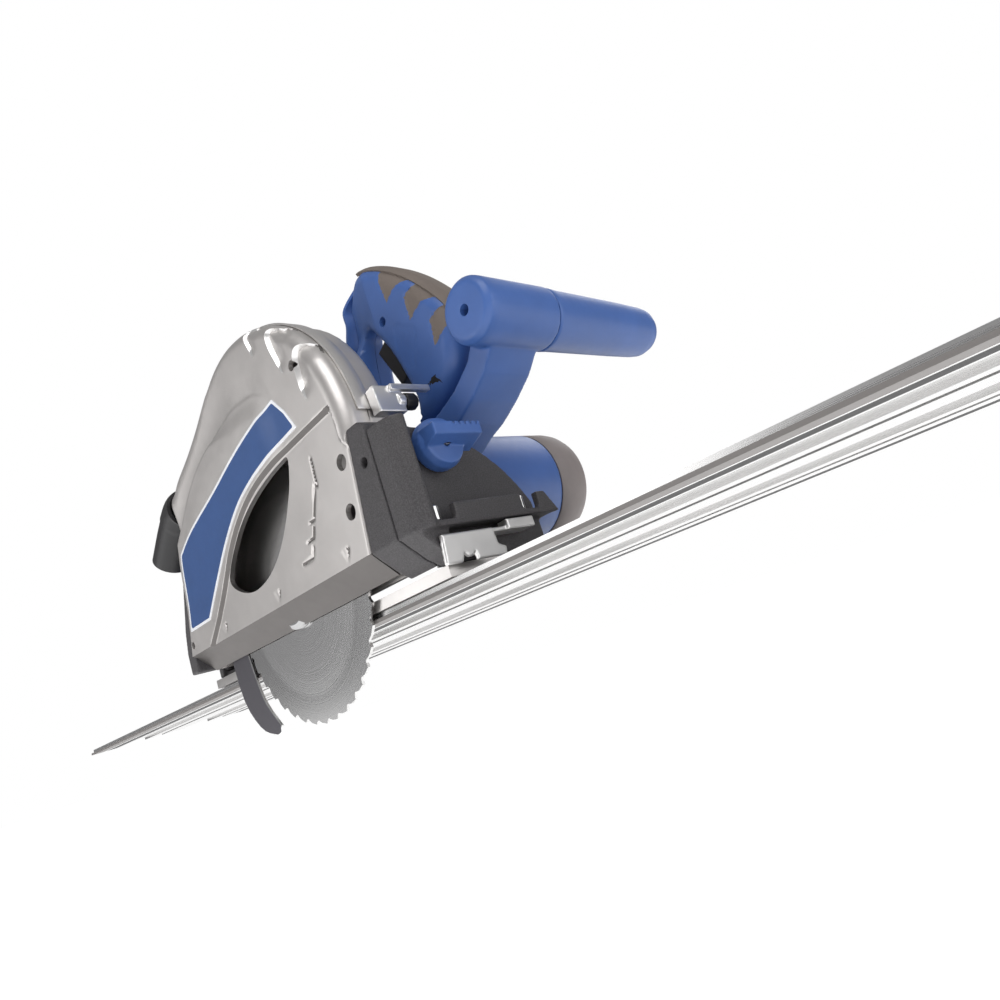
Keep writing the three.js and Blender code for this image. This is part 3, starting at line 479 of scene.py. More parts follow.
def turned_metal(name, colour, rough, axis, centre, pitch=0.5, metallic=1.0, band=None,
                 relief=0.12):
    """Metal with fine rings round an axis through a point of the saw's frame."""
    n = Nodes(name, rough, metallic)
    split = n.add("ShaderNodeSeparateXYZ")
    n.link(n.where, split.inputs["Vector"])
    names = {"X": ("Y", "Z"), "Y": ("X", "Z"), "Z": ("X", "Y")}[axis]
    point = {"X": (0, *centre), "Y": (centre[0], 0, centre[1]), "Z": (*centre, 0)}[axis]
    here = dict(zip("XYZ", SAW_TO_PART @ Vector(point)))
    u, v = (n.math("SUBTRACT", split.outputs[k], here[k]) for k in names)
    radius = n.math("SQRT", n.math("ADD", n.math("MULTIPLY", u, u), n.math("MULTIPLY", v, v)))
    rings = n.add("ShaderNodeTexNoise", noise_dimensions="1D")
    n.put(rings, W=radius, Scale=1 / (pitch * MM), Detail=3.0)
    lines = rings.outputs["Fac"]
    if band:
        inner, outer, dim = band
        low = n.range(radius, 1.0, dim, inner * MM, outer * MM)
        tone = n.math("MULTIPLY", low, n.range(lines, 0.9, 1.05))
    else:
        tone = n.range(lines, 0.9, 1.05)
    mix = n.add("ShaderNodeMix", data_type="RGBA", blend_type="MULTIPLY")
    mix.inputs["Factor"].default_value = 1.0
    mix.inputs["A"].default_value = (*colour, 1)
    grey = n.add("ShaderNodeCombineColor")
    for k in ("Red", "Green", "Blue"):
        n.link(tone, grey.inputs[k])
    n.link(grey.outputs["Color"], mix.inputs["B"])
    n.colour(mix.outputs["Result"])
    n.roughness(n.range(lines, rough - 0.06, rough + 0.1))
    n.bump(lines, relief, 0.04)
    return n.material


GUARD_METAL = cast_metal("guard_metal", (0.60, 0.575, 0.56), 0.40)
# Painted shade for the guard's surfaces that face away from the light.
GUARD_PAINTED_SHADE = cast_metal("guard_painted_shade", (0.16, 0.15, 0.145), 0.5)
BASE_METAL = cast_metal("base_metal", (0.66, 0.64, 0.625), 0.36)
# Pale metal of the depth stop, the cut-line plate and the front protractor; on the gills' walls it
# is a painted highlight.
PALE_METAL_AND_HIGHLIGHT = cast_metal("pale_metal_and_highlight", (0.86, 0.85, 0.84), 0.3)
GEARBOX_METAL = cast_metal("gearbox_metal", (0.45, 0.44, 0.43), 0.45)
CASTING = speckled("speckled_casting", srgb(66, 64, 66), 0.55)
BLACK = moulded("black_plastic", srgb(30, 29, 31), 0.42)
# Near black, painted as the shade in the handle's recess.
RECESS_PAINTED_SHADE = moulded("recess_painted_shade", srgb(14, 13, 14), 0.7)
BLUE = moulded("blue_plastic", srgb(62, 96, 160), 0.44, coat=0.08)
CAP_GREY = moulded("cap_grey", srgb(128, 120, 118), 0.55)
SOFT_GRIP = moulded("soft_grip", srgb(112, 102, 95), 0.72, grain=1500, strength=0.45)
LABEL_BLUE = moulded("label_blue", srgb(44, 78, 132), 0.34, grain=3000, strength=0.05, coat=0.2)
LABEL_WHITE = moulded("label_white", srgb(232, 234, 238), 0.36, grain=3000, strength=0.05)
STRIP_GREY = drawn("strip_grey", srgb(120, 116, 114), 0.5, metallic=0.0)
STRIP_BLACK = moulded("strip_black", srgb(20, 19, 20), 0.6, grain=900, strength=0.5)
RAIL_METAL = drawn("rail_metal", (0.66, 0.655, 0.65), 0.26)
STEEL_Z = turned_metal("screw_steel", (0.72, 0.72, 0.72), 0.24, "Z", (139, 0), 0.4)
BLADE_METAL = turned_metal("blade_metal", (0.88, 0.875, 0.87), 0.2, "Y", SPINDLE, 0.7,
                           band=(62, 66, 0.8), relief=0.02)
FLANGE_METAL = turned_metal("flange_metal", (0.5, 0.5, 0.5), 0.3, "Y", SPINDLE, 0.5)
SHAFT_METAL = turned_metal("shaft_metal", (0.6, 0.6, 0.6), 0.25, "Y", MOTOR, 0.4)
BOLT_METAL = turned_metal("bolt_metal", (0.55, 0.55, 0.56), 0.3, "X", BOLT_YZ, 0.4)
PIVOT_METAL = turned_metal("pivot_metal", (0.55, 0.55, 0.56), 0.3, "Y", PIVOT, 0.4)
KNIFE_FACE = drawn("knife_face", srgb(88, 86, 92), 0.42, (1, 1, 0.03), 500, 0.6)
KNIFE_EDGE = drawn("knife_edge", (0.8, 0.8, 0.8), 0.2, (1, 1, 0.03), 700)
LAMINATION = drawn("laminations", (0.35, 0.34, 0.33), 0.4, (0.01, 1, 0.01), 1500)
WINDING = drawn("windings", (0.55, 0.25, 0.1), 0.35, (1, 0.02, 1), 1500)
SPRING_METAL = drawn("spring_metal", (0.3, 0.3, 0.31), 0.35, (1, 1, 1), 600)


# ---------------------------------------------------------------- guard, outer shell
RIM = (arc(*GUARD, GUARD_R, -1.9, 112, 62)
       + curve_through([(-30, 185.5), (-52, 176.5), (-80, 165.5), (-104, 156), (-116, 149)], 8))
REAR = [(-117.5, 143), (-118, 104), (-135, 45), (-141, 26), (-141, 12.5)]
FRONT = [(102.5, 12.5), (102.5, 27.5), (111.3, 90)]
GUARD_OUTLINE = resampled(RIM + REAR + FRONT, 1.3)
STEP_WIDTH = 2.6
STEP_LINE = curve_through([
    (-106.5, 25.9), (-86, 40.5), (-66.9, 56.4), (-45.9, 75.7), (-26.9, 88.6), (-7.6, 97.6),
    (12.6, 103.4), (33.9, 106.2), (56.2, 107.5), (83.2, 108.5), (113, 109.4)], 6)
CREASE = curve_through([(54, 139.5), (47.9, 142.5), (34.2, 149.7), (18.9, 152.5), (3.8, 153.6),
                        (-11.5, 151.9), (-30.2, 149.5), (-45.2, 146.8), (-62.7, 141),
                        (-83.8, 130.2), (-100, 119), (-120, 106)], 5)
WINDOW = curve_through([
    (50.5, 102.3), (46.5, 90), (38, 77.8), (27.1, 65.9), (13, 54.6), (-4.5, 46.4), (-24, 43.2),
    (-40, 46), (-52, 52), (-57, 58.5), (-53, 65.5), (-42, 75), (-25, 86), (-4, 94.6), (20, 100.2),
    (40, 102.6)], 4, closed=True)
# A gill's wall from its tip to the end of its hook on the rim, its floor's width and its depth.
GILLS = [
    ([(88, 120.4), (85, 130), (84.5, 140), (86, 149), (91, 153), (98, 151)], 14, 3.6),
    ([(72, 144.6), (68, 155), (64.5, 166), (64, 175), (68, 177), (78, 171.5)], 12, 3.2),
    ([(45.6, 169.8), (42.5, 179), (40, 187), (42, 190.5), (52, 186.5)], 9, 2.4),
]
GILLS = [(curve_through(line, 5), width, depth) for line, width, depth in GILLS]
BOLT_HOLES = [(100.4, 78.1, 4.6), (96.2, 51.5, 4.6)]
SMALL_HOLES = [(82.7, 144.7, 3.1), (-133.7, 33.2, 2.6)]
ARROW = [
    [(73.3, 91.9), (72.4, 75.9), (69.7, 77.2), (60.8, 60.2), (55.4, 60)],
    [(58.4, 56.3), (55.1, 51), (47.6, 50.6)],
    [(52.4, 46.8), (49, 41.3), (37.4, 40.9)],
]
CUT_MARKS = [81.5, 0, -81]  # X of the triangular marks over the blade's front, middle and rear
BAND_TOP = 26
GILL_WALL = 1.3  # width of a gill's wall


def gill(x, z, line, width, depth):
    """A recess that is deepest along a wall on its left and rises to the face on its right."""
    away, side = distance(x, z, line)
    grow = smooth((z - line[0][1]) / (0.5 * (line[-1][1] - line[0][1])))
    floor = np.clip(1 - away / width, 0, 1) ** 1.3
    return depth * grow * floor * np.where(side > 0, smooth(away / GILL_WALL), 0)


def groove(x, z, line, half, depth):
    """How deep a groove of the given half width along a line is at points."""
    away, _ = distance(x, z, line)
    return depth * smooth((half - away) / (0.5 * half))


def rounding(away, r):
    """How far a surface falls back at a distance from an edge rounded with radius r."""
    return np.where(away < r, r - np.sqrt(np.maximum(r * r - (r - away) ** 2, 0)), 0)


def guard_face(x, z):
    """Y of the guard's outer face at points of its plane."""
    rim, _ = distance(x, z, RIM)
    step, side = distance(x, z, STEP_LINE)
    below = smooth(np.where(side > 0, step, 0) / STEP_WIDTH) * smooth((rim - 8.5) / 1.6)
    y = UPPER_FACE + (LOWER_FACE - UPPER_FACE) * below
    crease, side = distance(x, z, CREASE)
    sharp = smooth((10 - x) / 50)
    soft = 1 + 5 * (1 - sharp)
    inside = -1.7 * smooth(crease / (2.5 * soft)) * smooth((52 - crease) / 40)
    outside = (2.4 * sharp + 0.6) * smooth(crease / 3 + 0.25) * smooth((30 - crease) / 26)
    fade = smooth((56 - x) / 26)
    y = y + fade * np.where(side < 0, inside, outside)
    for wall, width, depth in GILLS:
        y = y + gill(x, z, wall, width, depth)
    for line in ARROW:
        y = y + groove(x, z, line, 0.9, 0.9)
    for x0 in CUT_MARKS:
        mark = (z > 28) & (z < 35.6) & (np.abs(x - x0 - 0.2) < (z - 28) * 0.56)
        y = y + np.where(mark & (x < x0 + 1.6), 0.25, 0) + np.where(mark & (x >= x0 + 1.6), 0.9, 0)
    y = y + rounding(rim, 9 + 8 * smooth((20 - x) / 110))
    y = y + rounding(distance(x, z, REAR + FRONT)[0], 1.4)
    band = LOWER_FACE + (BAND_TOP - z) * (14 / 13.5)
    return np.where(z < BAND_TOP, np.maximum(y, band), y)


def guard_paint(x, y, z, _):
    """0 for bare metal, 1 for painted shade on the slopes, gaps, grooves and marks, and 2 for a
    painted highlight on the gills' walls.
    """
    out = np.zeros(len(x))
    rim, _ = distance(x, z, RIM)
    step, side = distance(x, z, STEP_LINE)
    # Painted shade: these are painted dark. The lower band and the step's slope face down; the gap
    # at the rim's top, the window's walls, the arrow grooves and the marks' right sides are dark
    # for the same reason.
    dark = (z < BAND_TOP) | ((side > 0) & (step < STEP_WIDTH) & (rim > 8) & (y < -10))
    dark |= (y > -10.4) & (y < -8.2) & (x > -40) & (z > 110)
    dark |= (y > -17.0) & (distance(x, z, WINDOW, closed=True)[0] < 0.4)
    for line in ARROW:
        dark |= (distance(x, z, line)[0] < 0.75) & (y < -14)
    for x0 in CUT_MARKS:
        dark |= (z > 28) & (z < 35.6) & (x >= x0 + 1.6) & (x < x0 + 0.2 + (z - 28) * 0.56)
    out[dark] = 1
    # Painted highlight: the gills' walls are painted pale for the light they catch.
    for wall, _, _ in GILLS:
        away, side = distance(x, z, wall)
        out[(side > 0) & (away < GILL_WALL) & (z > wall[0][1] + 1)] = 2
    return out


def sheet(outline, holes, height, spacing, skirt, hole_skirt, edge_rows=(), lines=()):
    """A surface over an outline in XZ whose Y is height(x, z), with walls back from its edges.

    skirt is the Y that the outer wall reaches. hole_skirt(y) is the Y that a hole's wall reaches.
    lines are kept as edges of the surface.
    """
    loops = [resampled(outline, spacing)] + [resampled(h, spacing) for h in holes]
    points = [p for loop in loops for p in loop]
    edges, start = [], 0
    for loop in loops:
        edges += [(start + i, start + (i + 1) % len(loop)) for i in range(len(loop))]
        start += len(loop)
    for line in lines:
        edges += [(start + i, start + i + 1) for i in range(len(line) - 1)]
        points += list(line)
        start += len(line)
    xs, zs = zip(*outline)
    rows = np.arange(min(zs), max(zs), spacing * 0.866)
    grid = [(x + (spacing / 2 if j % 2 else 0), z) for j, z in enumerate(rows)
            for x in np.arange(min(xs), max(xs), spacing)]
    gx, gz = (np.array(v) for v in zip(*grid))
    clear = 0.55 * spacing
    keep = np.ones(len(gx), bool)
    for i, loop in enumerate(loops):
        d, _ = distance(gx, gz, loop, closed=True)
        keep &= d > (max(edge_rows, default=0) + clear if i == 0 else clear)
    for line in lines:
        keep &= distance(gx, gz, line)[0] > clear
    points += [(x, z) for x, z, k in zip(gx, gz, keep) if k]
    for d in edge_rows:
        points += beside(loops[0], d, closed=True)
    got, _, faces, *_ = delaunay_2d_cdt([Vector(p) for p in points], edges, [], 0, 1e-5)
    x = np.array([p.x for p in got])
    z = np.array([p.y for p in got])
    faces = np.array(faces)
    cx, cz = x[faces].mean(1), z[faces].mean(1)
    kept = inside(cx, cz, loops[0])
    for loop in loops[1:]:
        kept &= ~inside(cx, cz, loop)
    obj = raw(list(zip(x, height(x, z), z)), faces[kept].tolist())
    bm = bmesh.new()
    bm.from_mesh(obj.data)
    bmesh.ops.delete(bm, geom=[v for v in bm.verts if not v.link_faces], context="VERTS")
    bmesh.ops.recalc_face_normals(bm, faces=bm.faces)
    if sum(f.normal.y * f.calc_area() for f in bm.faces) > 0:
        bmesh.ops.reverse_faces(bm, faces=bm.faces)
    ext = bmesh.ops.extrude_edge_only(bm, edges=[e for e in bm.edges if e.is_boundary])
    walls = [g for g in ext["geom"] if isinstance(g, bmesh.types.BMVert)]
    wx, wz = np.array([v.co.x for v in walls]), np.array([v.co.z for v in walls])
    to_rim, _ = distance(wx, wz, loops[0], closed=True)
    for v, d in zip(walls, to_rim):
        v.co.y = max(v.co.y, skirt) if d < 0.05 else hole_skirt(v.co.y)
    bm.to_mesh(obj.data)
    bm.free()
    return obj


def thick(obj, wall):
    """A surface given a wall inwards."""
    mod = obj.modifiers.new("wall", "SOLIDIFY")
    mod.thickness = wall
    mod.offset = -1
    return settled(obj)


def guard_outer():
    """The guard's outer shell as a thin casting with its window, holes and gills."""
    holes = [WINDOW] + [ring(x, z, r, 24) for x, z, r in BOLT_HOLES + SMALL_HOLES]
    band = [(x, BAND_TOP) for x in np.linspace(-140, 101.8, 180)]
    inner = [p for p in beside(STEP_LINE, -STEP_WIDTH) if p[0] < 104 and p[1] > BAND_TOP + 0.5]
    outer = [p for p in STEP_LINE if p[0] < 104 and p[1] > BAND_TOP + 0.5]
    walls = [wall for wall, _, _ in GILLS] + [beside(wall, -GILL_WALL) for wall, _, _ in GILLS]
    skin = sheet(GUARD_OUTLINE, holes, guard_face, 1.3, -2.3, lambda y: y + 3.2,
                 (0.25, 0.8, 1.7, 2.9), [band, inner, outer, *walls])
    skin = thick(skin, 2.2)
    finished(skin, "guard_outer_skin", "guard", [GUARD_METAL, GUARD_PAINTED_SHADE, PALE_METAL_AND_HIGHLIGHT],
             "guard_outer_shell", sharp=42, paint=guard_paint)


LABEL = (curve_through([(71.6, 112.2), (50, 110.6), (24.6, 108), (5.8, 104.6), (-14.1, 98.6),
                        (-32.4, 89.4), (-51.7, 77), (-74.8, 59.4), (-95.7, 42.8)], 4)
         + [(-131, 42.8)]
         + curve_through([(-114.5, 96.5), (-88.7, 106.9), (-43.6, 118.3), (4.1, 130.1),
                          (54, 137.8)], 4)
         + [(64, 126)])


def label():
    """The blank blue label with its white border, lying on the guard's face."""
    field = beside(resampled(LABEL, 2), -1.7, closed=True)
    skin = sheet(LABEL, [], lambda x, z: guard_face(x, z) - 0.45, 2.0, -18.9, None, (),
                 [field + field[:1]])

    def paint(x, y, z, _):
        return 1 - inside(x, z, field)

    finished(skin, "guard_label", "guard", [LABEL_BLUE, LABEL_WHITE], "label_plate",
             sharp=30, paint=paint)


guard_outer()
label()


# ---------------------------------------------------------------- D-handle
GRIP = curve_through([
    (38, 90), (52, 81), (80, 81), (92, 94.5), (114, 101), (130, 108), (143.5, 117), (150.5, 132),
    (152, 148), (146, 161), (131, 181), (115, 197), (100, 208), (88, 213.8), (76, 215.5),
    (65, 211), (55, 203), (54, 192), (50, 178), (47, 150), (43, 112)], 5, closed=True)
FINGERS = curve_through([
    (62, 113), (72, 104), (92, 100), (101, 103), (104.4, 112), (103.5, 122), (100.5, 133),
    (97, 145), (92, 157), (84, 169.5), (77, 176), (70, 174), (66, 165), (62.5, 145)],
    4, closed=True)
WEDGES = [
    [(106.5, 177.7), (103.9, 194), (108, 206), (126, 190), (131.2, 179.7), (122.1, 183.1),
     (113, 182.6)],
    [(121, 157.3), (121.6, 172.4), (129, 175.3), (138, 177), (153, 158), (153, 154.4),
     (142.2, 160.4), (133.1, 162.6)],
    [(134.2, 133.4), (136.3, 148.6), (145.7, 151.6), (153, 152), (153, 142), (144, 138.3)],
]
PATCH = [(105.7, 163.9), (124.4, 151.6), (113, 131), (99.9, 139.4)]
GRIP_ROUND = 10  # radius of the handle's outer edges
HANDLE_SCREWS = [(97.6, 170, 3.1), (60, 98, 3.1)]
RECESS = [(126.8, 119.4), (118.6, 116.1), (128.8, 113.5)]


def grip_face(x, z):
    """Y of the D-handle's right side."""
    y = HANDLE_Y[0] + rounding(distance(x, z, GRIP, closed=True)[0], GRIP_ROUND)
    y = np.maximum(y, HANDLE_Y[0] + rounding(distance(x, z, FINGERS, closed=True)[0], 5))
    y = y + smooth((z - 160) / 20) * np.maximum(0, (90 - x) * 0.32)
    for wedge in WEDGES:
        y = y + np.where(inside(x, z, wedge), 0.7, 0)
    dots = 0.2 * (1 - np.cos(x * 2.1) * np.cos(z * 2.1))
    return y + np.where(inside(x, z, PATCH), dots, 0)


def grip_paint(x, y, z):
    """0 for blue, 1 for the soft grip and 2 for painted shade where the recess is."""
    out = np.zeros(len(x))
    out[(z > 108) & (z < 168) & (x < 61) & (y > HANDLE_Y[0] + 0.4)] = 1
    for wedge in WEDGES:
        out[inside(x, z, wedge) & (y < HANDLE_MIDDLE)] = 1
    # Painted shade: the recess is painted near black; the surface is not sunk there.
    out[inside(x, z, RECESS) & (y < 50)] = 2
    return out


def handle():
    """The D-handle's two halves, the left one a mirror image of the right one."""
    holes = [FINGERS] + [ring(x, z, r, 20) for x, z, r in HANDLE_SCREWS]
    edge = HANDLE_MIDDLE - 0.2
    right = sheet(GRIP, holes, grip_face, 1.5, edge, lambda y: edge, (0.3, 1.0, 2.2, 4, 6.5),
                  [resampled(w, 1.5) + [w[0]] for w in WEDGES])
    right = thick(right, 2.4)
    left = bpy.data.objects.new("left", right.data.copy())
    SCENE.collection.objects.link(left)
    left.data.transform(Matrix.Translation((0, 2 * HANDLE_MIDDLE, 0))
                        @ Matrix.Scale(-1, 4, (0, 1, 0)))
    left.data.flip_normals()
    for obj, name in ((right, "right"), (left, "left")):
        mirror = name == "left"
        finished(obj, "handle_%s_grip" % name, "plunge", [BLUE, SOFT_GRIP, RECESS_PAINTED_SHADE],
                 "handle_%s_shell" % name, sharp=38,
                 paint=lambda x, y, z, _, m=mirror: grip_paint(
                     x, 2 * HANDLE_MIDDLE - y if m else y, z))


def grip_pad():
    """The soft pad over the handle's back, which follows the rounding of its sides."""
    line = [p for p in resampled(GRIP, 2.0) if p[1] > 150 and p[0] > 84]
    line.sort(key=lambda p: math.atan2(p[1] - 150, p[0] - 95))
    pts = np.array(line)
    along = np.gradient(pts, axis=0)
    out = np.stack([along[:, 1], -along[:, 0]], 1)
    out /= np.linalg.norm(out, axis=1)[:, None]
    across = np.linspace(HANDLE_Y[0] + 2.5, HANDLE_Y[1] - 2.5, 21)
    back = np.minimum(across - HANDLE_Y[0], HANDLE_Y[1] - across)
    fall = rounding(back, GRIP_ROUND)
    verts = [(p[0] + o[0] * (1.3 - f), y, p[1] + o[1] * (1.3 - f))
             for p, o in zip(pts, out) for y, f in zip(across, fall)]
    n = len(across)
    faces = [(i * n + k, i * n + k + 1, (i + 1) * n + k + 1, (i + 1) * n + k)
             for i in range(len(pts) - 1) for k in range(n - 1)]
    pad = thick(outward(raw(verts, faces)), 2.0)
    finished(pad, "handle_pad", "plunge", SOFT_GRIP, "grip_pad", sharp=40)


handle()
grip_pad()


# ---------------------------------------------------------------- turned and drawn-out pieces
def motor():
    """The motor's barrel and its slotted rear cap."""
    shell = turned("Y", [(29, 36.2), (29, 64.4), (36, 64.7), (38.4, 65.6), (39.6, 67.2),
                         (40, 69), (40, 96), (39.5, 96.4), (39.5, 97.4), (40, 97.8),
                         (40, 162), (39.4, 164.4), (38.6, 165), (36.6, 165), (36.6, 68.6),
                         (26, 67.4), (26, 36.2), (29, 36.2)], *MOTOR, steps=96)
    finished(shell, "motor_barrel", "plunge", BLUE, "motor_housing", sharp=40)
    cap = turned("Y", [(36, 165.4), (39.6, 165.4), (40, 166), (40, 185), (39.4, 190), (37.6, 194.6),
                       (34.6, 197.8), (30.5, 199.6), (26, 200), (0, 200), (0, 196), (29.5, 196),
                       (34.5, 193), (36, 189), (36, 165.4)], *MOTOR, steps=96)
    slots = []
    for k in range(6):
        slot = brick(17, 31, 190, 206, -1.6, 1.6)
        slot.data.transform(Matrix.Translation((MOTOR[0], 0, MOTOR[1]))
                            @ Matrix.Rotation(math.radians(60 * k), 4, "Y"))
        slots.append(slot)
    cut(cap, *slots)
    finished(cap, "motor_rear_cap", "plunge", CAP_GREY, "motor_end_cap", sharp=40)


def bar_handle():
    """The front bar grip, and the arm and barrel that carry it."""
    grip = turned("Y", [(0, 81.4), (17.4, 81.4), (17.8, 82), (17.8, 84), (17.4, 90), (16.6, 150),
                        (16, 172), (15.4, 178), (13.4, 182.6), (10, 184.6), (6, 185), (0, 185)],
                  *BAR, steps=72)
    finished(grip, "bar_grip", "plunge", BLUE, "front_bar_grip", sharp=40)
    barrel = turned("Y", [(0, 25.2), (11, 25.2), (14.2, 26), (16.8, 28), (18.1, 31), (18.1, 80.9),
                          (0, 80.9)], *BAR, steps=72)
    arm = softened(together(cad_copy("front_arm"), barrel), 0.85, 11)
    arm = cut(arm, turned("Y", [(0, 24), (3.2, 24), (3.2, 38), (0, 38)], *BAR, steps=24))
    finished(arm, "front_arm_soft", "plunge", BLUE, "front_arm", sharp=40)


def dust_port():
    x, y, z = -119, -6, 134
    path = curve_through([(x - 1, y, z), (x - 6, y, z), (x - 14, y, z - 3.4),
                          (x - 28, y, z - 11.5), (x - 50, y, z - 27)], 7)
    bore = [(x + 1, y, z)] + path[2:] + [(x - 51.8, y, z - 28.3)]
    radii = [15 - 0.6 * (i > 16) for i in range(len(path))]
    tube = cut(pipe(path, radii, 48), pipe(bore, 12.4, 40))
    finished(tube, "dust_spout", "dust", BLACK, "dust_port", sharp=38)


def blade():
    """The blade with shallow teeth."""
    outline = []
    for k in range(BLADE_TEETH):
        for r, share in ((80.2, 0.0), (79.6, 0.12), (81.4, 0.4), (82.5, 0.86), (80.8, 0.96)):
            a = math.radians((k + share) * 360 / BLADE_TEETH)
            outline.append((SPINDLE[0] + r * math.cos(a), SPINDLE[1] + r * math.sin(a)))
    disc = cut(prism("Y", outline, -0.9, 0.9), turned("Y", [(0, -2), (10, -2), (10, 2), (0, 2)],
                                                      *SPINDLE, steps=32))
    finished(disc, "blade_disc", "blade", BLADE_METAL, "saw_blade", sharp=30)


def knife():
    obj = bevelled(cad_copy("riving_knife"), 0.55, 1, 50)
    finished(obj, "knife_plate", "plunge", [KNIFE_FACE, KNIFE_EDGE], "riving_knife",
             sharp=25, paint=lambda x, y, z, normal: np.abs(normal[:, 1]) < 0.9)


def scale_band():
    outer = arc(*GUARD, 101.6, 4, 76, 60)
    inner = arc(*GUARD, 100.3, 76, 4, 60)
    obj = bevelled(prism("Y", outer + inner, -8.4, 1), 0.25, 2)
    finished(obj, "rim_band", "guard", BASE_METAL, "depth_scale", sharp=40)


def depth_stop():
    clear = brick(95, 135, -9, -0.5, 85, 125)
    obj = softened(cut(cad_copy("depth_stop"), clear), 0.5, 3)
    finished(obj, "depth_stop_soft", "stop", PALE_METAL_AND_HIGHLIGHT, "depth_stop", sharp=40)


depth_stop()
motor()
bar_handle()
dust_port()
blade()
knife()
scale_band()


# ---------------------------------------------------------------- CAD shapes with softer edges
def eased(node, material, body, voxel=1.0, rounds=5, sharp=40):
    obj = softened(cad_copy(node), voxel, rounds)
    return finished(obj, node + "_soft", body, material, node, sharp)


def edged(node, material, body, width=0.5, sharp=35):
    obj = bevelled(cad_copy(node), width)
    return finished(obj, node + "_edged", body, material, node, sharp)


eased("guard_inner_shell", GUARD_METAL, "guard", 1.1, 6)
eased("front_casting", CASTING, "guard", 0.9, 4)
eased("front_bracket", CASTING, "base", 0.9, 4)
eased("rear_bracket", CASTING, "base", 0.9, 4)
eased("rear_protractor", CASTING, "guard", 0.9, 4)
eased("cut_line_plate", PALE_METAL_AND_HIGHLIGHT, "base", 0.5, 4)
eased("bevel_knob_front", BLUE, "front_knob", 0.5, 5)
eased("bevel_knob_rear", BLUE, "rear_knob", 0.5, 5)
eased("trigger", BLACK, "trigger", 0.6, 5)
edged("depth_stop_knob", BLACK, "stop_knob", 0.4)
edged("base_plate", BASE_METAL, "base", 0.4)


# ---------------------------------------------------------------- CAD nodes that stay as they are
KEPT = {
    RAIL_METAL: ["guide_rail"],
    STRIP_GREY: ["splinter_strip", "glide_strip"],
    STRIP_BLACK: ["grip_strip_inner", "grip_strip_outer"],
    GEARBOX_METAL: ["gearbox_housing", "gearbox_cover"],
    BLACK: ["rail_cam_front", "rail_cam_rear", "brush_cap_1",
            "brush_cap_2", "switch_body", "cord_gland", "plunge_release_button",
            "spindle_lock_button", "cooling_fan"],
    PALE_METAL_AND_HIGHLIGHT: ["front_protractor"],
    STEEL_Z: ["guide_screw_1", "guide_screw_2"],
    BOLT_METAL: ["bevel_bolt_front", "bevel_bolt_rear"],
    PIVOT_METAL: ["plunge_pivot_pin", "knife_screw"],
    SPRING_METAL: ["plunge_spring"],
    FLANGE_METAL: ["outer_flange", "inner_flange", "blade_bolt", "spindle", "spindle_gear",
                   "spindle_bearing", "idler_gear"],
    SHAFT_METAL: ["armature_shaft", "armature_bearing"],
    LAMINATION: ["stator"],
    WINDING: ["armature_core"],
}
for material, nodes in KEPT.items():
    for node in nodes:
        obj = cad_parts[node]
        obj.data.materials.clear()
        obj.data.materials.append(material)

# ---------------------------------------------------------------- floor, light and camera
FLOOR_Z = -0.16


def stage_floor():
    obj = raw([(-60, -60, FLOOR_Z), (60, -60, FLOOR_Z), (60, 60, FLOOR_Z), (-60, 60, FLOOR_Z)],
              [(0, 1, 2, 3)], "floor")
    n = Nodes("floor_pale", 0.9)
    n.colour(n.ramp(n.noise(3, 2), [(0.3, 0.93), (0.7, 0.95)]))
    n.shader.inputs["Emission Color"].default_value = (1, 1, 1, 1)
    n.shader.inputs["Emission Strength"].default_value = 0.8
    obj.data.materials.append(n.material)


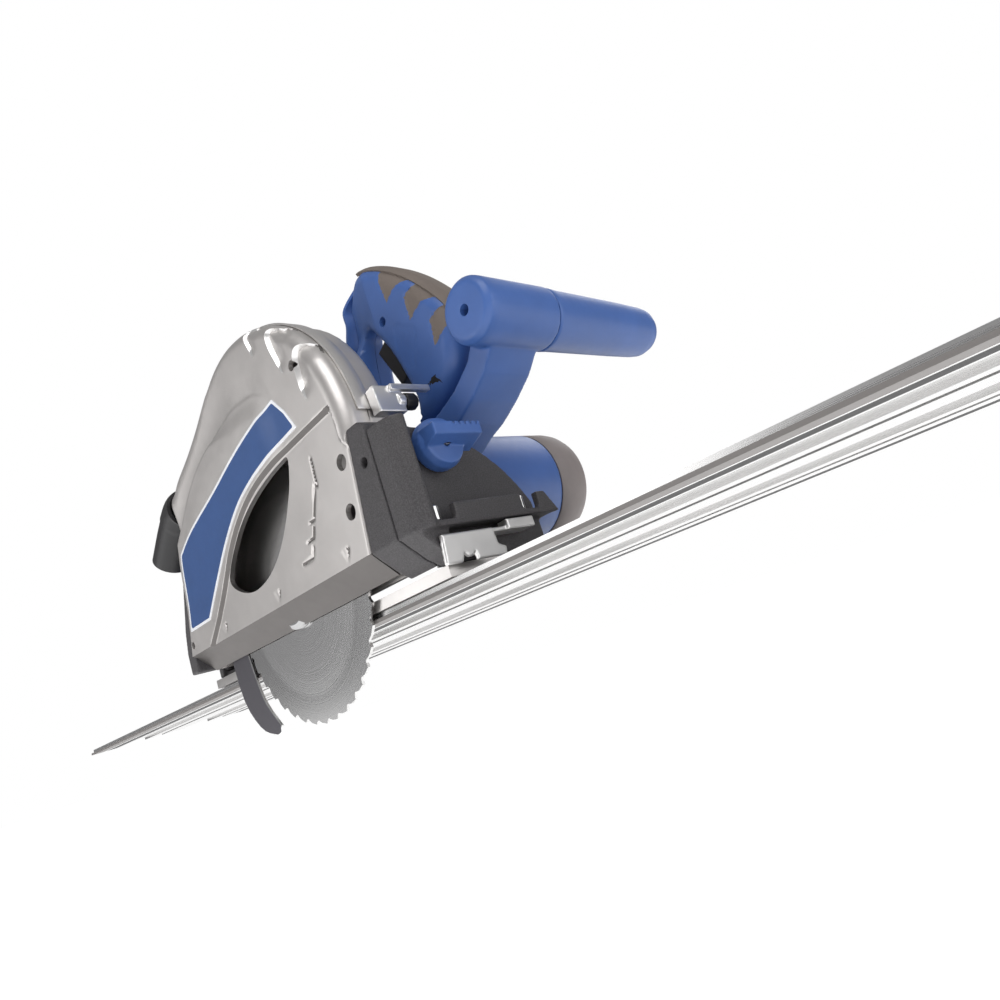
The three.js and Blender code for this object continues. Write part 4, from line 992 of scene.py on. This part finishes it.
def sky():
    """A white background for the camera and a soft grey sky for everything else."""
    world = bpy.data.worlds.new("studio")
    SCENE.world = world
    world.use_nodes = True
    tree = world.node_tree
    tree.nodes.clear()
    out = tree.nodes.new("ShaderNodeOutputWorld")
    mix = tree.nodes.new("ShaderNodeMixShader")
    seen = tree.nodes.new("ShaderNodeBackground")
    lit = tree.nodes.new("ShaderNodeBackground")
    path = tree.nodes.new("ShaderNodeLightPath")
    where = tree.nodes.new("ShaderNodeTexCoord")
    split = tree.nodes.new("ShaderNodeSeparateXYZ")
    ramp = tree.nodes.new("ShaderNodeValToRGB")
    span = tree.nodes.new("ShaderNodeMapRange")
    seen.inputs["Color"].default_value = (1, 1, 1, 1)
    seen.inputs["Strength"].default_value = 1.0
    tree.links.new(where.outputs["Generated"], split.inputs["Vector"])
    span.inputs["From Min"].default_value = -1
    span.inputs["From Max"].default_value = 1
    tree.links.new(split.outputs["Z"], span.inputs["Value"])
    tree.links.new(span.outputs["Result"], ramp.inputs["Fac"])
    for element, (at, v) in zip(ramp.color_ramp.elements, [(0.0, 0.3), (1.0, 0.9)]):
        element.position = at
        element.color = (v, v, v, 1)
    mid = ramp.color_ramp.elements.new(0.5)
    mid.color = (0.42, 0.42, 0.43, 1)
    tree.links.new(ramp.outputs["Color"], lit.inputs["Color"])
    lit.inputs["Strength"].default_value = 0.42
    tree.links.new(path.outputs["Is Camera Ray"], mix.inputs["Fac"])
    tree.links.new(lit.outputs["Background"], mix.inputs[1])
    tree.links.new(seen.outputs["Background"], mix.inputs[2])
    tree.links.new(mix.outputs["Shader"], out.inputs["Surface"])


def softbox(name, place, at, size, power, spread=math.pi):
    data = bpy.data.lights.new(name, "AREA")
    data.shape = "RECTANGLE"
    data.size, data.size_y = size
    data.energy = power
    data.spread = spread
    obj = bpy.data.objects.new(name, data)
    obj.location = place
    obj.rotation_euler = (Vector(at) - Vector(place)).to_track_quat("-Z", "Y").to_euler()
    SCENE.collection.objects.link(obj)


def camera():
    data = bpy.data.cameras.new("camera")
    data.sensor_width = 36
    data.lens = 27.17
    data.clip_start = 0.01
    obj = bpy.data.objects.new("camera", data)
    forward = Vector((-0.676, 0.710, 0.199)).normalized()
    right = Vector((0.644, 0.700, -0.308))
    right = (right - forward * right.dot(forward)).normalized()
    up = right.cross(forward)
    turn = Matrix((right, up, -forward)).transposed().to_4x4()
    obj.matrix_world = Matrix.Translation((0.418, -0.339, -0.041)) @ turn
    SCENE.collection.objects.link(obj)
    SCENE.camera = obj


stage_floor()
sky()
softbox("key", (0.9, -0.7, 1.3), (0, 0, 0.1), (1.0, 1.0), 11)
softbox("front", (1.4, 0.3, 0.3), (0.1, 0, 0.08), (0.8, 0.8), 3.2)
softbox("left", (-0.2, 1.2, 0.9), (0.05, 0, 0.1), (0.8, 0.6), 3)
softbox("side", (-0.7, -1.3, 0.35), (0, -0.1, 0.1), (0.7, 0.9), 4)
camera()
SCENE.view_settings.view_transform = "Standard"

bpy.context.view_layer.update()
